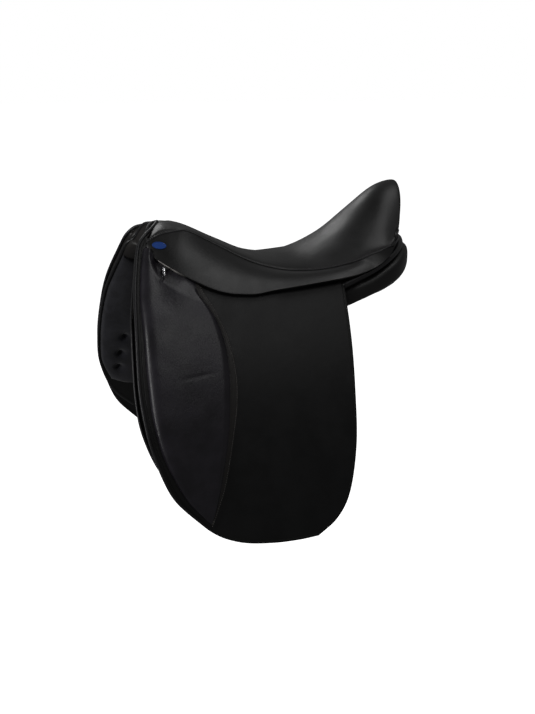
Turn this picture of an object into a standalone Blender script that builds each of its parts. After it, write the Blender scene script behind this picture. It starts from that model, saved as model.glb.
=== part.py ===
"""English saddle of dressage pattern, as its maker assembles it: tree, seat, skirts, flaps, panel.

Metres. +X points to the horse's head, +Y to its left side and +Z up. The origin is on the centre
line, under the deepest point of the seat, at the level where the panels bear on the back.
Every left-hand piece is mirrored across the plane Y = 0.
"""

import math

import bmesh
import bpy
import numpy as np

LEFT, RIGHT = 1, -1
SIDES = (("left", LEFT), ("right", RIGHT))
GAP = 0.0003
LAYER_GAP = 0.0012

# Leather and padding
COVER_T = 0.003
SKIRT_T = 0.003
SKIRT_BULGE = 0.007
FLAP_T = 0.0045
STRAP_T = 0.0032
SWEAT_FLAP_T = 0.003
KNEE_PAD_T = 0.009
KNEE_PAD_RIM = 0.0012
KNEE_BLOCK_T = 0.0135
FRONT_PAD_T = 0.022
FRONT_PAD_RIM = 0.004
FOAM_T = 0.015
FOAM_POMMEL_T = 0.010
WEB_T = 0.002
WELT_R = 0.0021
WELT_ROOM = 0.0028
PIPING_R = 0.002
PANEL_ROLL_R = 0.0048
D_RING_WIRE_R = 0.0014
D_RING_X = 0.1950
FRONT_ARCH_X = 0.194

# Layers under the flap, measured inwards from the flap's outer surface
SWEAT_FLAP_DEPTH = 0.0220
# Girth straps: name, rear and front edge in X, depth. All run between two heights.
GIRTH_STRAPS = [("front", (0.0305, 0.0555), 0.0105), ("rear", (-0.0245, 0.0005), 0.0160)]
GIRTH_STRAP_Z = (0.056, -0.262)

# The flap's outer surface, a parabola in height: widest at FLAP_LOW, leaning in towards the tree
FLAP_LOW = -0.300
FLAP_WIDEST = 0.258
FLAP_LEAN = 0.125
FLAP_LEAN_HEIGHT = 0.366

# Tree
HEAD_X = (0.150, 0.178)
HEAD_T = 0.011
RAIL_WIDTH = 0.028
RAIL_T = 0.009
CANTLE_T = 0.009
SPRING_T = 0.0016

# Hinges
FLAP_HINGE_Z = 0.060
FLAP_HINGE_GAP = 0.0006
FLAP_TURN = 0.55
SKIRT_CUT = 0.42
SKIRT_CUT_ENDS = 0.93
SKIRT_MOVING = (0.17, 0.90)
SKIRT_HINGE_GAP = 0.025

# The seat's centre line from the pommel's lower front edge over the cantle to its lower back edge
SEAT_CENTRE = [
    (0.205, 0, 0.146), (0.198, 0, 0.156), (0.182, 0, 0.1630), (0.158, 0, 0.1610),
    (0.131, 0, 0.153), (0.081, 0, 0.129), (0.030, 0, 0.1075), (-0.010, 0, 0.102),
    (-0.048, 0, 0.107), (-0.101, 0, 0.1345), (-0.150, 0, 0.1745), (-0.190, 0, 0.2065),
    (-0.2245, 0, 0.217), (-0.222, 0, 0.201), (-0.220, 0, 0.172), (-0.215, 0, 0.135),
]
# The seat's left edge, where the welt lies: the points pair with those of the centre line
SEAT_EDGE = [
    (0.212, 0.056, 0.1430), (0.204, 0.054, 0.147), (0.192, 0.052, 0.152), (0.170, 0.0505, 0.156),
    (0.147, 0.050, 0.1555), (0.106, 0.0565, 0.1345), (0.050, 0.0705, 0.106), (-0.005, 0.0845, 0.092),
    (-0.060, 0.100, 0.093), (-0.110, 0.110, 0.104), (-0.140, 0.112, 0.1145), (-0.155, 0.1115, 0.119),
    (-0.163, 0.109, 0.1215), (-0.168, 0.107, 0.123), (-0.172, 0.106, 0.124), (-0.176, 0.1045, 0.1255),
]
# How steeply each cross-section falls from the centre line to the edge
SEAT_FALL = [1.0, 1.0, 1.0, 1.0, 1.0, 1.0, 1.1, 1.3, 1.7, 2.3, 3.0, 3.5, 3.9, 3.4, 2.6, 1.6]
SEAT_SWEEP = [1.5, 1.5, 1.5, 1.3, 1.0, 1.0, 1.0, 1.0, 1.2, 1.4, 1.5, 1.55, 1.6, 1.6, 1.5, 1.4]

# The skirt's lower edge on the left side, front to back
SKIRT_EDGE = [
    (0.215, 0.060, 0.137), (0.2125, 0.068, 0.129), (0.205, 0.084, 0.1185), (0.194, 0.098, 0.111),
    (0.178, 0.112, 0.1015), (0.1545, 0.125, 0.0895), (0.126, 0.135, 0.0765), (0.104, 0.140, 0.0705),
    (0.085, 0.142, 0.0685), (0.061, 0.143, 0.0675), (0.033, 0.143, 0.0715), (-0.015, 0.143, 0.0765),
    (-0.049, 0.142, 0.080), (-0.079, 0.140, 0.083), (-0.110, 0.136, 0.087), (-0.143, 0.128, 0.096),
    (-0.169, 0.116, 0.109), (-0.185, 0.104, 0.126),
]

# Flap outline in the (X, Z) plane
FLAP_FRONT = [(0.247, 0.060), (0.252, 0.008), (0.255, -0.062), (0.244, -0.140), (0.217, -0.208),
              (0.174, -0.258)]
FLAP_BOTTOM = [(0.174, -0.258), (0.150, -0.275), (0.115, -0.288), (0.070, -0.294), (0.030, -0.2945),
               (-0.001, -0.292)]
FLAP_REAR = [(-0.085, 0.060), (-0.081, -0.010), (-0.075, -0.080), (-0.068, -0.158),
             (-0.053, -0.229), (-0.032, -0.267), (-0.001, -0.292)]
PAD_FRONT = [(0.2405, 0.058), (0.243, 0.008), (0.2445, -0.045), (0.243, -0.100), (0.231, -0.151),
             (0.205, -0.207), (0.172, -0.243)]
PAD_REAR = [(0.134, 0.058), (0.121, 0.026), (0.113, -0.010), (0.111, -0.056), (0.118, -0.100),
            (0.135, -0.166), (0.150, -0.215), (0.161, -0.250)]

# The flap's root under the skirt: its distance from the centre plane and its height, against X
FLAP_ROOT_Y = [(-0.085, 0.107), (0.0, 0.089), (0.05, 0.071), (0.106, 0.054), (0.15, 0.050),
               (0.18, 0.050), (0.205, 0.046)]
FLAP_ROOT_Z = [(-0.085, 0.086), (0.0, 0.081), (0.05, 0.090), (0.106, 0.114), (0.15, 0.137),
               (0.18, 0.134), (0.205, 0.127)]
BAR_NOTCH = (0.045, 0.165)


def spline(points, count):
    """That many points, evenly spaced along the Catmull-Rom curve through the given ones."""
    p = np.array(points, float)
    p = np.vstack([2 * p[0] - p[1], p, 2 * p[-1] - p[-2]])
    t = np.linspace(0, 1, 12, endpoint=False)[:, None]
    pieces = []
    for a, b, c, d in zip(p, p[1:], p[2:], p[3:]):
        cubic = 2 * b + (c - a) * t + (2 * a - 5 * b + 4 * c - d) * t**2
        pieces.append(0.5 * (cubic + (3 * b - a - 3 * c + d) * t**3))
    fine = np.vstack(pieces + [p[-2:-1]])
    lengths = np.linalg.norm(np.diff(fine, axis=0), axis=1)
    travelled = np.concatenate([[0], np.cumsum(lengths)])
    at = np.linspace(0, travelled[-1], count)
    return np.column_stack([np.interp(at, travelled, column) for column in fine.T])


def offset(grid, distance):
    """The grid moved along its own normals."""
    normal = np.cross(np.gradient(grid, axis=0), np.gradient(grid, axis=1))
    normal /= np.linalg.norm(normal, axis=-1, keepdims=True)
    return grid + normal * distance


def paint(name, color, roughness, metallic=0.0):
    material = bpy.data.materials.new(name)
    material.use_nodes = True
    surface = material.node_tree.nodes["Principled BSDF"]
    surface.inputs["Base Color"].default_value = (*color, 1)
    surface.inputs["Roughness"].default_value = roughness
    surface.inputs["Metallic"].default_value = metallic
    return material


def finish(name, bm, color, roughness, metallic=0.0):
    """Makes the bmesh into an object with its own material."""
    bmesh.ops.recalc_face_normals(bm, faces=bm.faces)
    mesh = bpy.data.meshes.new(name)
    bm.to_mesh(mesh)
    bm.free()
    mesh.shade_smooth()
    mesh.set_sharp_from_angle(angle=math.radians(35))
    mesh.materials.append(paint(name, color, roughness, metallic))
    obj = bpy.data.objects.new(name, mesh)
    bpy.context.scene.collection.objects.link(obj)
    return obj


LEATHER = ((0.012, 0.012, 0.013), 0.42)
SOFT_LEATHER = ((0.016, 0.015, 0.019), 0.50)
SUEDE = ((0.014, 0.014, 0.018), 0.85)
STEEL = ((0.62, 0.62, 0.64), 0.25, 1.0)
DARK_STEEL = ((0.25, 0.25, 0.27), 0.45, 1.0)
WOOD = ((0.46, 0.30, 0.16), 0.55)
FOAM = ((0.62, 0.58, 0.46), 0.90)
WEBBING = ((0.50, 0.45, 0.33), 0.85)
ENAMEL = ((0.02, 0.10, 0.42), 0.20)


def slab(name, outer, inner, look, side=LEFT):
    """One closed solid between two grids of points."""
    mirror = np.array([1, side, 1])
    rows, columns = outer.shape[:2]
    bm = bmesh.new()
    layers = []
    for grid in (outer, inner):
        points = (grid * mirror).reshape(-1, 3)
        layers.append([bm.verts.new(point) for point in points])
    rim = [(r, 0) for r in range(rows)] + [(rows - 1, c) for c in range(1, columns)]
    rim += [(r, columns - 1) for r in range(rows - 2, -1, -1)]
    rim += [(0, c) for c in range(columns - 2, 0, -1)]
    for layer in layers:
        for r in range(rows - 1):
            for c in range(columns - 1):
                corners = ((r, c), (r, c + 1), (r + 1, c + 1), (r + 1, c))
                bm.faces.new([layer[i * columns + j] for i, j in corners])
    for (r0, c0), (r1, c1) in zip(rim, rim[1:] + rim[:1]):
        a, b = r0 * columns + c0, r1 * columns + c1
        bm.faces.new([layers[0][a], layers[0][b], layers[1][b], layers[1][a]])
    return finish(name, bm, *look)


def loft(name, rings, look, side=LEFT):
    """One closed solid through a stack of closed loops."""
    bm = bmesh.new()
    loops = [[bm.verts.new((x, y * side, z)) for x, y, z in ring] for ring in rings]
    for low, high in zip(loops, loops[1:]):
        for i in range(len(low)):
            j = (i + 1) % len(low)
            bm.faces.new([low[i], low[j], high[j], high[i]])
    bm.faces.new(loops[0])
    bm.faces.new(loops[-1])
    return finish(name, bm, *look)


def sweep(name, path, section, look, side=LEFT, wide=(0, 1, 0)):
    """A section of (across, up) points, carried along a path and kept level across."""
    path = np.array(path, float)
    along = np.gradient(path, axis=0)
    along /= np.linalg.norm(along, axis=1, keepdims=True)
    across = np.cross(np.cross(along, wide), along)
    across /= np.linalg.norm(across, axis=1, keepdims=True)
    up = np.cross(along, across)
    rings = []
    for centre, u, v in zip(path, across, up):
        rings.append([centre + u * a + v * b for a, b in section])
    return loft(name, rings, look, side)


def round_section(radius, sides=8):
    angles = np.arange(sides) * 2 * math.pi / sides
    return [(radius * math.cos(a), radius * math.sin(a)) for a in angles]


def flat_section(width, thickness, rise=0.0):
    w, t = width / 2, thickness / 2
    return [(-w, rise - t), (w, rise - t), (w, rise + t), (-w, rise + t)]


def coons(top, bottom, front, rear, rows, columns):
    """A grid between four outline curves, rows from top to bottom, columns from front to rear."""
    top, bottom = spline(top, columns), spline(bottom, columns)
    front, rear = spline(front, rows), spline(rear, rows)
    t = np.linspace(0, 1, rows)[:, None, None]
    s = np.linspace(0, 1, columns)[None, :, None]
    ruled = (1 - t) * top[None] + t * bottom[None] + (1 - s) * front[:, None] + s * rear[:, None]
    corners = (1 - t) * ((1 - s) * top[0] + s * top[-1]) + t * ((1 - s) * bottom[0] + s * bottom[-1])
    return ruled - corners


def flap_y(z):
    """How far the flap's outer surface stands from the centre plane at a height."""
    return FLAP_WIDEST - FLAP_LEAN * ((z - FLAP_LOW) / FLAP_LEAN_HEIGHT) ** 2


def flap_slope(z):
    """How fast the flap's surface leans out for each metre of height."""
    return -2 * FLAP_LEAN * (z - FLAP_LOW) / FLAP_LEAN_HEIGHT**2


def on_flap(plan, depth=0.0):
    """Lifts a plan in (X, Z) onto the flap's surface, and outwards by depth."""
    x, z = plan[..., 0], plan[..., 1]
    slope = flap_slope(z)
    length = np.sqrt(1 + slope**2)
    return np.stack([x, flap_y(z) + depth / length, z - depth * slope / length], axis=-1)


def seat_point(u, angle):
    """The seat's surface: u runs 0 to 1 from front to back, angle from -90 to 90 degrees across."""
    steps = np.linspace(0, 1, len(SEAT_CENTRE))
    centre = np.array([np.interp(u, steps, column) for column in np.array(SEAT_CENTRE).T])
    edge = np.array([np.interp(u, steps, column) for column in np.array(SEAT_EDGE).T])
    edge[1] -= WELT_ROOM
    fall, sweep_power = np.interp(u, steps, SEAT_FALL), np.interp(u, steps, SEAT_SWEEP)
    rise = math.cos(angle)
    x = edge[0] + (centre[0] - edge[0]) * rise**sweep_power
    y = edge[1] * math.sin(angle)
    return np.array([x, y, edge[2] + (centre[2] - edge[2]) * rise**fall])


def seat_grid(u_range, angle_range, rows, columns):
    """Points of the seat's surface, rows from front to back, columns from left to right."""
    grid = np.empty((rows, columns, 3))
    for i, u in enumerate(np.linspace(*u_range, rows)):
        for j, angle in enumerate(np.linspace(*angle_range, columns)):
            grid[i, j] = seat_point(u, math.radians(angle))
    return grid


def foam_depth(rows):
    """The foam's thickness under each row of the cover, thin over the pommel."""
    u = np.linspace(0, 1, rows)[:, None, None]
    return FOAM_POMMEL_T + (FOAM_T - FOAM_POMMEL_T) * np.clip((u - 0.12) / 0.25, 0, 1)


def make_tree():
    arch = [(0.092, 0.030), (0.090, 0.062), (0.079, 0.092), (0.056, 0.117), (0.028, 0.1300),
            (0, 0.1340)]
    arch = arch + [(-y, z) for y, z in arch[-2::-1]]
    line = spline([(0, y, z) for y, z in arch], 21)
    outward = np.gradient(line, axis=0)[:, [0, 2, 1]] * np.array([0, 1, -1])
    outward /= np.linalg.norm(outward, axis=1, keepdims=True)

    def band(near, far, x_low, x_high, part=slice(None)):
        rings = []
        for point, out in zip(line[part], outward[part]):
            low, high = point + out * near, point + out * far
            rings.append([(x_low, *low[1:]), (x_high, *low[1:]), (x_high, *high[1:]), (x_low, *high[1:])])
        return rings

    half = HEAD_T / 2
    loft("tree_head", band(-half, half, *HEAD_X), WOOD)
    loft("gullet_plate", band(-half - 0.0025, -half - GAP, 0.153, 0.175, slice(2, 19)), DARK_STEEL)
    for name, side in SIDES:
        pocket = band(half + GAP, half + 0.0026, 0.147, 0.181, slice(0, 3))
        loft(f"point_pocket_{name}", pocket, LEATHER, side)

    rail = [(0.1465, 0.077, 0.0880), (0.120, 0.0760, 0.0820), (0.080, 0.0730, 0.0730),
            (0.040, 0.066, 0.0670), (0.000, 0.062, 0.0640), (-0.040, 0.064, 0.0660),
            (-0.080, 0.072, 0.0730), (-0.120, 0.082, 0.0860)]
    path = spline(rail, 12)
    for name, side in SIDES:
        sweep(f"tree_rail_{name}", path, flat_section(RAIL_WIDTH, RAIL_T), WOOD, side)
        drop = RAIL_T / 2 + GAP + SPRING_T / 2
        sweep(f"tree_spring_{name}", path[1:-1], flat_section(0.016, SPRING_T, drop), DARK_STEEL, side)

    low = [(-0.1300, 0.088, 0.0900), (-0.158, 0.076, 0.101), (-0.184, 0.050, 0.116), (-0.195, 0, 0.127)]
    high = [(-0.1330, 0.089, 0.0960), (-0.166, 0.072, 0.114), (-0.190, 0.046, 0.142), (-0.201, 0, 0.166)]
    low = low + [(x, -y, z) for x, y, z in low[-2::-1]]
    high = high + [(x, -y, z) for x, y, z in high[-2::-1]]
    lower, upper = spline(low, 17), spline(high, 17)
    board = np.stack([upper, 0.5 * (upper + lower), lower])
    slab("tree_cantle", board, offset(board, -CANTLE_T), WOOD)


def make_seat():
    """Cover, foam and webs share one grid, so that each layer lies parallel to the next."""
    rows, columns = 27, 17
    cover = seat_grid((0, 1), (85, -85), rows, columns)
    slab("seat_cover", cover, offset(cover, -COVER_T), LEATHER)

    top_depth = COVER_T + GAP
    bottom_depth = top_depth + foam_depth(rows)
    padded = np.s_[2:21, 2:-2]
    slab("seat_foam", offset(cover, -top_depth)[padded], offset(cover, -bottom_depth)[padded], FOAM)

    web_depth = top_depth + FOAM_T + LAYER_GAP
    for name, side in SIDES:
        strip = np.s_[8:18, 5:8]
        web = offset(cover, -web_depth)[strip], offset(cover, -web_depth - WEB_T)[strip]
        slab(f"seat_web_{name}", *web, WEBBING, side)
    cross_depth = web_depth + WEB_T + LAYER_GAP
    strip = np.s_[11:14, 5:-5]
    web = offset(cover, -cross_depth)[strip], offset(cover, -cross_depth - WEB_T)[strip]
    slab("seat_web_cross", *web, WEBBING)

    welt = spline([(x, y + 0.0010, z - 0.0020) for x, y, z in SEAT_EDGE[:-4]], 20)
    for name, side in SIDES:
        sweep(f"welt_{name}", welt, round_section(WELT_R, 6), LEATHER, side, wide=(0, 0, 1))


def skirt_grid(s_range, t_values):
    """The left skirt's outer surface. Each column is at one t, front to rear, and its rows are the
    fractions s from the welt to the lower edge."""
    fine = 200
    top = spline([(x, y + 0.0060, z - 0.0035) for x, y, z in SEAT_EDGE], fine + 1)
    low = spline(SKIRT_EDGE, fine + 1)
    grid = np.empty((len(s_range), len(t_values), 3))
    for j, t in enumerate(t_values):
        a, b = top[round(fine * t)], low[round(fine * t)]
        out = np.cross(b - a, (-1, 0, 0))
        out /= np.linalg.norm(out)
        fullness = SKIRT_BULGE * math.sqrt(math.sin(math.pi * min(t * 1.15, 1)))
        for i, s in enumerate(s_range[:, j]):
            grid[i, j] = a + (b - a) * s + out * fullness * math.sin(math.pi * s)
    return grid


def skirt_cut(t):
    """Where the hinge line crosses the skirt, as a fraction from the welt to the lower edge."""
    low, high = SKIRT_MOVING
    middle = np.clip((t - low) / (high - low), 0, 1)
    return SKIRT_CUT_ENDS - (SKIRT_CUT_ENDS - SKIRT_CUT) * np.sin(np.pi * middle) ** 0.6


def make_skirts():
    across = np.linspace(0.01, 0.975, 24)
    cut = skirt_cut(across)
    inside = (across >= SKIRT_MOVING[0]) & (across <= SKIRT_MOVING[1])
    upper_end = np.where(inside, cut - SKIRT_HINGE_GAP, 1.0)
    lower_start = upper_end + 2 * SKIRT_HINGE_GAP
    lower_end = np.where(inside, 1.0, 1.08)
    upper = np.linspace(0, 1, 5)[:, None] * upper_end
    lower = lower_start + (lower_end - lower_start) * np.linspace(0, 1, 4)[:, None]
    outer = skirt_grid(np.vstack([upper, lower]), across)
    inner = offset(outer, -SKIRT_T)
    for name, side in SIDES:
        slab(f"skirt_top_{name}", outer[:5], inner[:5], LEATHER, side)
        slab(f"skirt_{name}", outer[5:, inside], inner[5:, inside], LEATHER, side)


def make_flaps():
    hinge = FLAP_HINGE_Z - FLAP_HINGE_GAP
    front = [(FLAP_FRONT[0][0], hinge)] + FLAP_FRONT[1:]
    rear = [(FLAP_REAR[0][0], hinge)] + FLAP_REAR[1:]
    rows = 13
    body = coons([front[0], rear[0]], FLAP_BOTTOM, front, rear, rows, 9)
    pad_plan = coons([PAD_FRONT[0], PAD_REAR[0]], [PAD_FRONT[-1], PAD_REAR[-1]], PAD_FRONT, PAD_REAR,
                     rows, 7)
    across = np.sin(np.pi * np.linspace(0.04, 0.93, 7)[None]) ** 0.55
    down = np.linspace(1, 0.45, rows)[:, None]
    down[0] = 0.12
    thick = KNEE_PAD_RIM + (KNEE_PAD_T - KNEE_PAD_RIM) * (across * down)[..., None]
    edge = spline(front, 15)
    ahead = np.gradient(edge, axis=0)[:, ::-1] * np.array([-1, 1])
    ahead /= np.linalg.norm(ahead, axis=1, keepdims=True)
    piping = on_flap(edge + ahead * (PIPING_R + 0.0008), -0.002)
    for name, side in SIDES:
        slab(f"flap_{name}", on_flap(body), on_flap(body, -FLAP_T), LEATHER, side)
        low = on_flap(pad_plan, GAP)
        slab(f"knee_pad_{name}", offset(low, thick), low, SOFT_LEATHER, side)
        sweep(f"flap_piping_{name}", piping, round_section(PIPING_R, 6), LEATHER, side)


def flap_top_surface(columns, reach):
    """The flap above its hinge, which turns in under the skirt to the tree. reach is how far up each
    column goes, from 0 at the hinge to 1 at its root."""
    x = np.array(columns)
    root_y, root_z = [np.interp(x, *zip(*line)) for line in (FLAP_ROOT_Y, FLAP_ROOT_Z)]
    grid = np.empty((len(reach), len(x), 3))
    start = np.array([flap_y(FLAP_HINGE_Z), FLAP_HINGE_Z])
    lean = np.array([flap_slope(FLAP_HINGE_Z), 1])
    for j in range(len(x)):
        end = np.array([root_y[j], root_z[j]])
        handle = start + lean * (end[1] - start[1]) * FLAP_TURN
        for i, r in enumerate(reach[:, j]):
            y, z = (1 - r) ** 2 * start + 2 * r * (1 - r) * handle + r**2 * end
            grid[i, j] = (x[j], y, z)
    return grid[::-1]


def make_flap_tops():
    """Between the two ends of the stirrup bar the flap's top stops short, to let the bar out."""
    columns = np.array([0.228, 0.215, 0.200, 0.185, 0.170, 0.162, 0.154, 0.130, 0.100, 0.070, 0.050,
                        0.042, 0.020, -0.010, -0.040, -0.065, -0.085])
    notch = (columns < BAR_NOTCH[1]) & (columns > BAR_NOTCH[0])
    ends = np.where(notch, 0.16, 1.0)
    reach = np.linspace(0, 1, 5)[:, None] * ends[None]
    top = flap_top_surface(columns, reach)
    under = offset(top, -FLAP_T)
    under[-1, :, 2] = np.maximum(under[-1, :, 2], FLAP_HINGE_Z)
    for name, side in SIDES:
        slab(f"flap_top_{name}", top, under, LEATHER, side)


def make_girth_straps():
    high, low = GIRTH_STRAP_Z
    for kind, (rear, front), depth in GIRTH_STRAPS:
        plan = coons([(front, high), (rear, high)], [(front, low), (rear, low)],
                     [(front, high), (front, low)], [(rear, high), (rear, low)], 15, 2)
        for name, side in SIDES:
            outer, inner = on_flap(plan, -depth), on_flap(plan, -depth - STRAP_T)
            slab(f"girth_strap_{kind}_{name}", outer, inner, LEATHER, side)


def make_sweat_flaps():
    """The flap nearest the horse, with the knee block on its outer face and the pad on its inner."""
    sweat = coons([(0.236, 0.118), (0.205, 0.100), (0.175, 0.064), (0.120, 0.050), (0.02, 0.048),
                   (-0.060, 0.046)],
                  [(0.190, -0.212), (0.120, -0.246), (0.040, -0.250), (-0.020, -0.225)],
                  [(0.236, 0.118), (0.254, 0.050), (0.262, -0.035), (0.254, -0.112), (0.230, -0.170),
                   (0.190, -0.212)],
                  [(-0.060, 0.046), (-0.062, -0.060), (-0.052, -0.160), (-0.020, -0.225)], 11, 8)
    block = coons([(0.186, 0.010), (0.146, 0.010)], [(0.176, -0.176), (0.150, -0.176)],
                  [(0.186, 0.010), (0.204, -0.070), (0.176, -0.176)],
                  [(0.146, 0.010), (0.160, -0.070), (0.150, -0.176)], 9, 5)
    rows, columns = 11, 6
    pad = coons([(0.226, 0.096), (0.190, 0.074), (0.158, 0.048)],
                [(0.234, -0.146), (0.200, -0.156), (0.160, -0.150)],
                [(0.226, 0.096), (0.245, 0.055), (0.255, -0.020), (0.254, -0.095), (0.234, -0.146)],
                [(0.158, 0.048), (0.152, -0.050), (0.160, -0.150)], rows, columns)
    down = np.sin(np.pi * np.linspace(0.05, 0.95, rows))[:, None, None]
    across = np.sin(np.pi * np.linspace(0.06, 0.94, columns))[None, :, None]
    thick = FRONT_PAD_RIM + (FRONT_PAD_T - FRONT_PAD_RIM) * np.sqrt(down * across)
    back = on_flap(pad, -(SWEAT_FLAP_DEPTH + SWEAT_FLAP_T + 3 * GAP))
    block_back = on_flap(block, GAP - SWEAT_FLAP_DEPTH)
    block_face = on_flap(block, GAP - SWEAT_FLAP_DEPTH + KNEE_BLOCK_T)
    outer, inner = on_flap(sweat, -SWEAT_FLAP_DEPTH), on_flap(sweat, -SWEAT_FLAP_DEPTH - SWEAT_FLAP_T)
    for name, side in SIDES:
        slab(f"sweat_flap_{name}", outer, inner, LEATHER, side)
        slab(f"knee_block_{name}", block_face, block_back, SOFT_LEATHER, side)
        slab(f"front_pad_{name}", back, offset(back, -thick), SUEDE, side)


def panel_ring(x, inner, outer, top, bottom, tilt):
    """A cushion's cross-section: rounded, with a flat bearing face below."""
    width, height = outer - inner, top - bottom
    shape = [(0.00, 0.55), (0.06, 0.85), (0.30, 1.0), (0.70, 1.0), (0.94, 0.88), (1.0, 0.55),
             (0.97, 0.22), (0.80, 0.0), (0.30, 0.0), (0.05, 0.20)]
    return [(x, inner + a * width, bottom + b * height - tilt * a) for a, b in shape]


def make_panel():
    """Two cushions with a channel between them, a rolled edge behind and an arch in front."""
    stations = [
        (0.142, 0.046, 0.088, 0.066, 0.042, 0.014), (0.125, 0.040, 0.100, 0.066, 0.032, 0.018),
        (0.080, 0.036, 0.112, 0.060, 0.024, 0.022), (0.040, 0.034, 0.116, 0.055, 0.022, 0.024),
        (0.000, 0.033, 0.117, 0.052, 0.022, 0.024), (-0.040, 0.032, 0.117, 0.054, 0.024, 0.022),
        (-0.075, 0.032, 0.121, 0.060, 0.032, 0.016), (-0.100, 0.032, 0.126, 0.067, 0.040, 0.010),
        (-0.130, 0.032, 0.125, 0.076, 0.047, 0.004), (-0.160, 0.032, 0.120, 0.088, 0.056, 0.000),
        (-0.190, 0.030, 0.108, 0.099, 0.068, 0.000), (-0.210, 0.028, 0.088, 0.106, 0.083, 0.000),
        (-0.222, 0.026, 0.056, 0.112, 0.097, 0.000),
    ]
    roll = spline([(-0.088, 0.1295, 0.0705), (-0.132, 0.1205, 0.0843), (-0.161, 0.1105, 0.0960),
                   (-0.187, 0.0925, 0.1078), (-0.2085, 0.0655, 0.1160), (-0.222, 0.033, 0.1225),
                   (-0.227, 0.004, 0.1240)], 16)
    for name, side in SIDES:
        loft(f"panel_{name}", [panel_ring(*station) for station in stations], SOFT_LEATHER, side)
        section = round_section(PANEL_ROLL_R, 6)
        sweep(f"panel_roll_{name}", roll, section, LEATHER, side, wide=(0, 0, 1))
    half_arch = [(0.071, 0.084), (0.058, 0.101), (0.034, 0.1145), (0, 0.120)]
    arch = half_arch + [(-y, z) for y, z in half_arch[-2::-1]]
    line = spline([(FRONT_ARCH_X, y, z) for y, z in arch], 15)
    sweep("panel_front_arch", line, flat_section(0.020, 0.008), SUEDE, wide=(1, 0, 0))


def block(name, low, high, look, side=LEFT):
    """A box between two corners."""
    (x0, y0, z0), (x1, y1, z1) = low, high
    rings = [[(x, y0, z0), (x, y1, z0), (x, y1, z1), (x, y0, z1)] for x in (x0, x1)]
    return loft(name, rings, look, side)


def prism(name, outline, low, high, look, side=LEFT):
    """An outline in the (X, Y) plane, extruded from one height to another."""
    return loft(name, [[(x, y, z) for x, y in outline] for z in (low, high)], look, side)


def rod(name, start, end, radius, look, sides=12):
    """A round bar between two points."""
    start, end = np.array(start, float), np.array(end, float)
    wide = (1, 0, 0) if abs(end[1] - start[1]) > abs(end[0] - start[0]) else (0, 1, 0)
    return sweep(name, [start, end], round_section(radius, sides), look, wide=wide)


def bore(target, cutter_name, start, end, radius):
    """Cuts a round hole through a piece."""
    cutter = rod(cutter_name, start, end, radius, STEEL, 16)
    cutter.hide_render = True
    cutter.display_type = "WIRE"
    cut = target.modifiers.new("bore", "BOOLEAN")
    cut.operation = "DIFFERENCE"
    cut.object = cutter


def make_stirrup_bars():
    """Each bar is one forging, open at the rear, with a safety catch hinged on its free end."""
    plate, bar, tongue = (0.0940, 0.0980), (0.1080, 0.1150), (0.1102, 0.1128)
    low, high = 0.0705, 0.0785
    pin_x, pin_z, pin_r = 0.0690, 0.0745, 0.00118
    tongue_end, jaw_start, catch_end, bar_end = 0.0655, 0.0628, 0.0725, 0.0745
    outline = [(0.060, plate[0]), (0.170, plate[0]), (0.170, plate[1]), (0.158, plate[1]),
               (0.152, bar[1]), (bar_end, bar[1]), (bar_end, tongue[1]), (tongue_end, tongue[1]),
               (tongue_end, tongue[0]), (bar_end, tongue[0]), (bar_end, bar[0]), (0.141, bar[0]),
               (0.145, plate[1]), (0.060, plate[1])]
    play = 0.0005
    fork = [(0.0580, bar[0]), (catch_end, bar[0]), (catch_end, tongue[0] - play),
            (jaw_start, tongue[0] - play), (jaw_start, tongue[1] + play),
            (catch_end, tongue[1] + play), (catch_end, bar[1]), (0.0580, bar[1])]
    for name, side in SIDES:
        through = [(pin_x, side * y, pin_z) for y in (bar[0] - 0.001, bar[1] + 0.001)]
        forging = prism(f"stirrup_bar_{name}", outline, low, high, STEEL, side)
        bore(forging, f"cutter_tongue_{name}", *through, pin_r + GAP / 4)
        catch = prism(f"bar_catch_{name}", fork, low + 0.001, high - 0.001, STEEL, side)
        bore(catch, f"cutter_catch_{name}", *through, pin_r + GAP / 4)
        ends = [(pin_x, side * y, pin_z) for y in (bar[0] + 0.0007, bar[1] - 0.0007)]
        rod(f"catch_pin_{name}", *ends, pin_r, DARK_STEEL)


def make_saddle_nails():
    """A small oval disc on the front of each skirt."""
    length, width, thickness = 0.026, 0.013, 0.0016
    seated = skirt_grid(np.array([[0.50]]), [0.08])[0, 0]
    for name, side in SIDES:
        bm = bmesh.new()
        bmesh.ops.create_cone(bm, cap_ends=True, segments=20, radius1=0.5, radius2=0.5, depth=1)
        bmesh.ops.scale(bm, vec=(length, width, thickness), verts=bm.verts)
        obj = finish(f"saddle_nail_{name}", bm, *ENAMEL)
        obj.location = (seated[0], side * (seated[1] + 0.0045), seated[2] + 0.0045)
        obj.rotation_euler = (side * math.radians(-45), math.radians(-14), 0)


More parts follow.
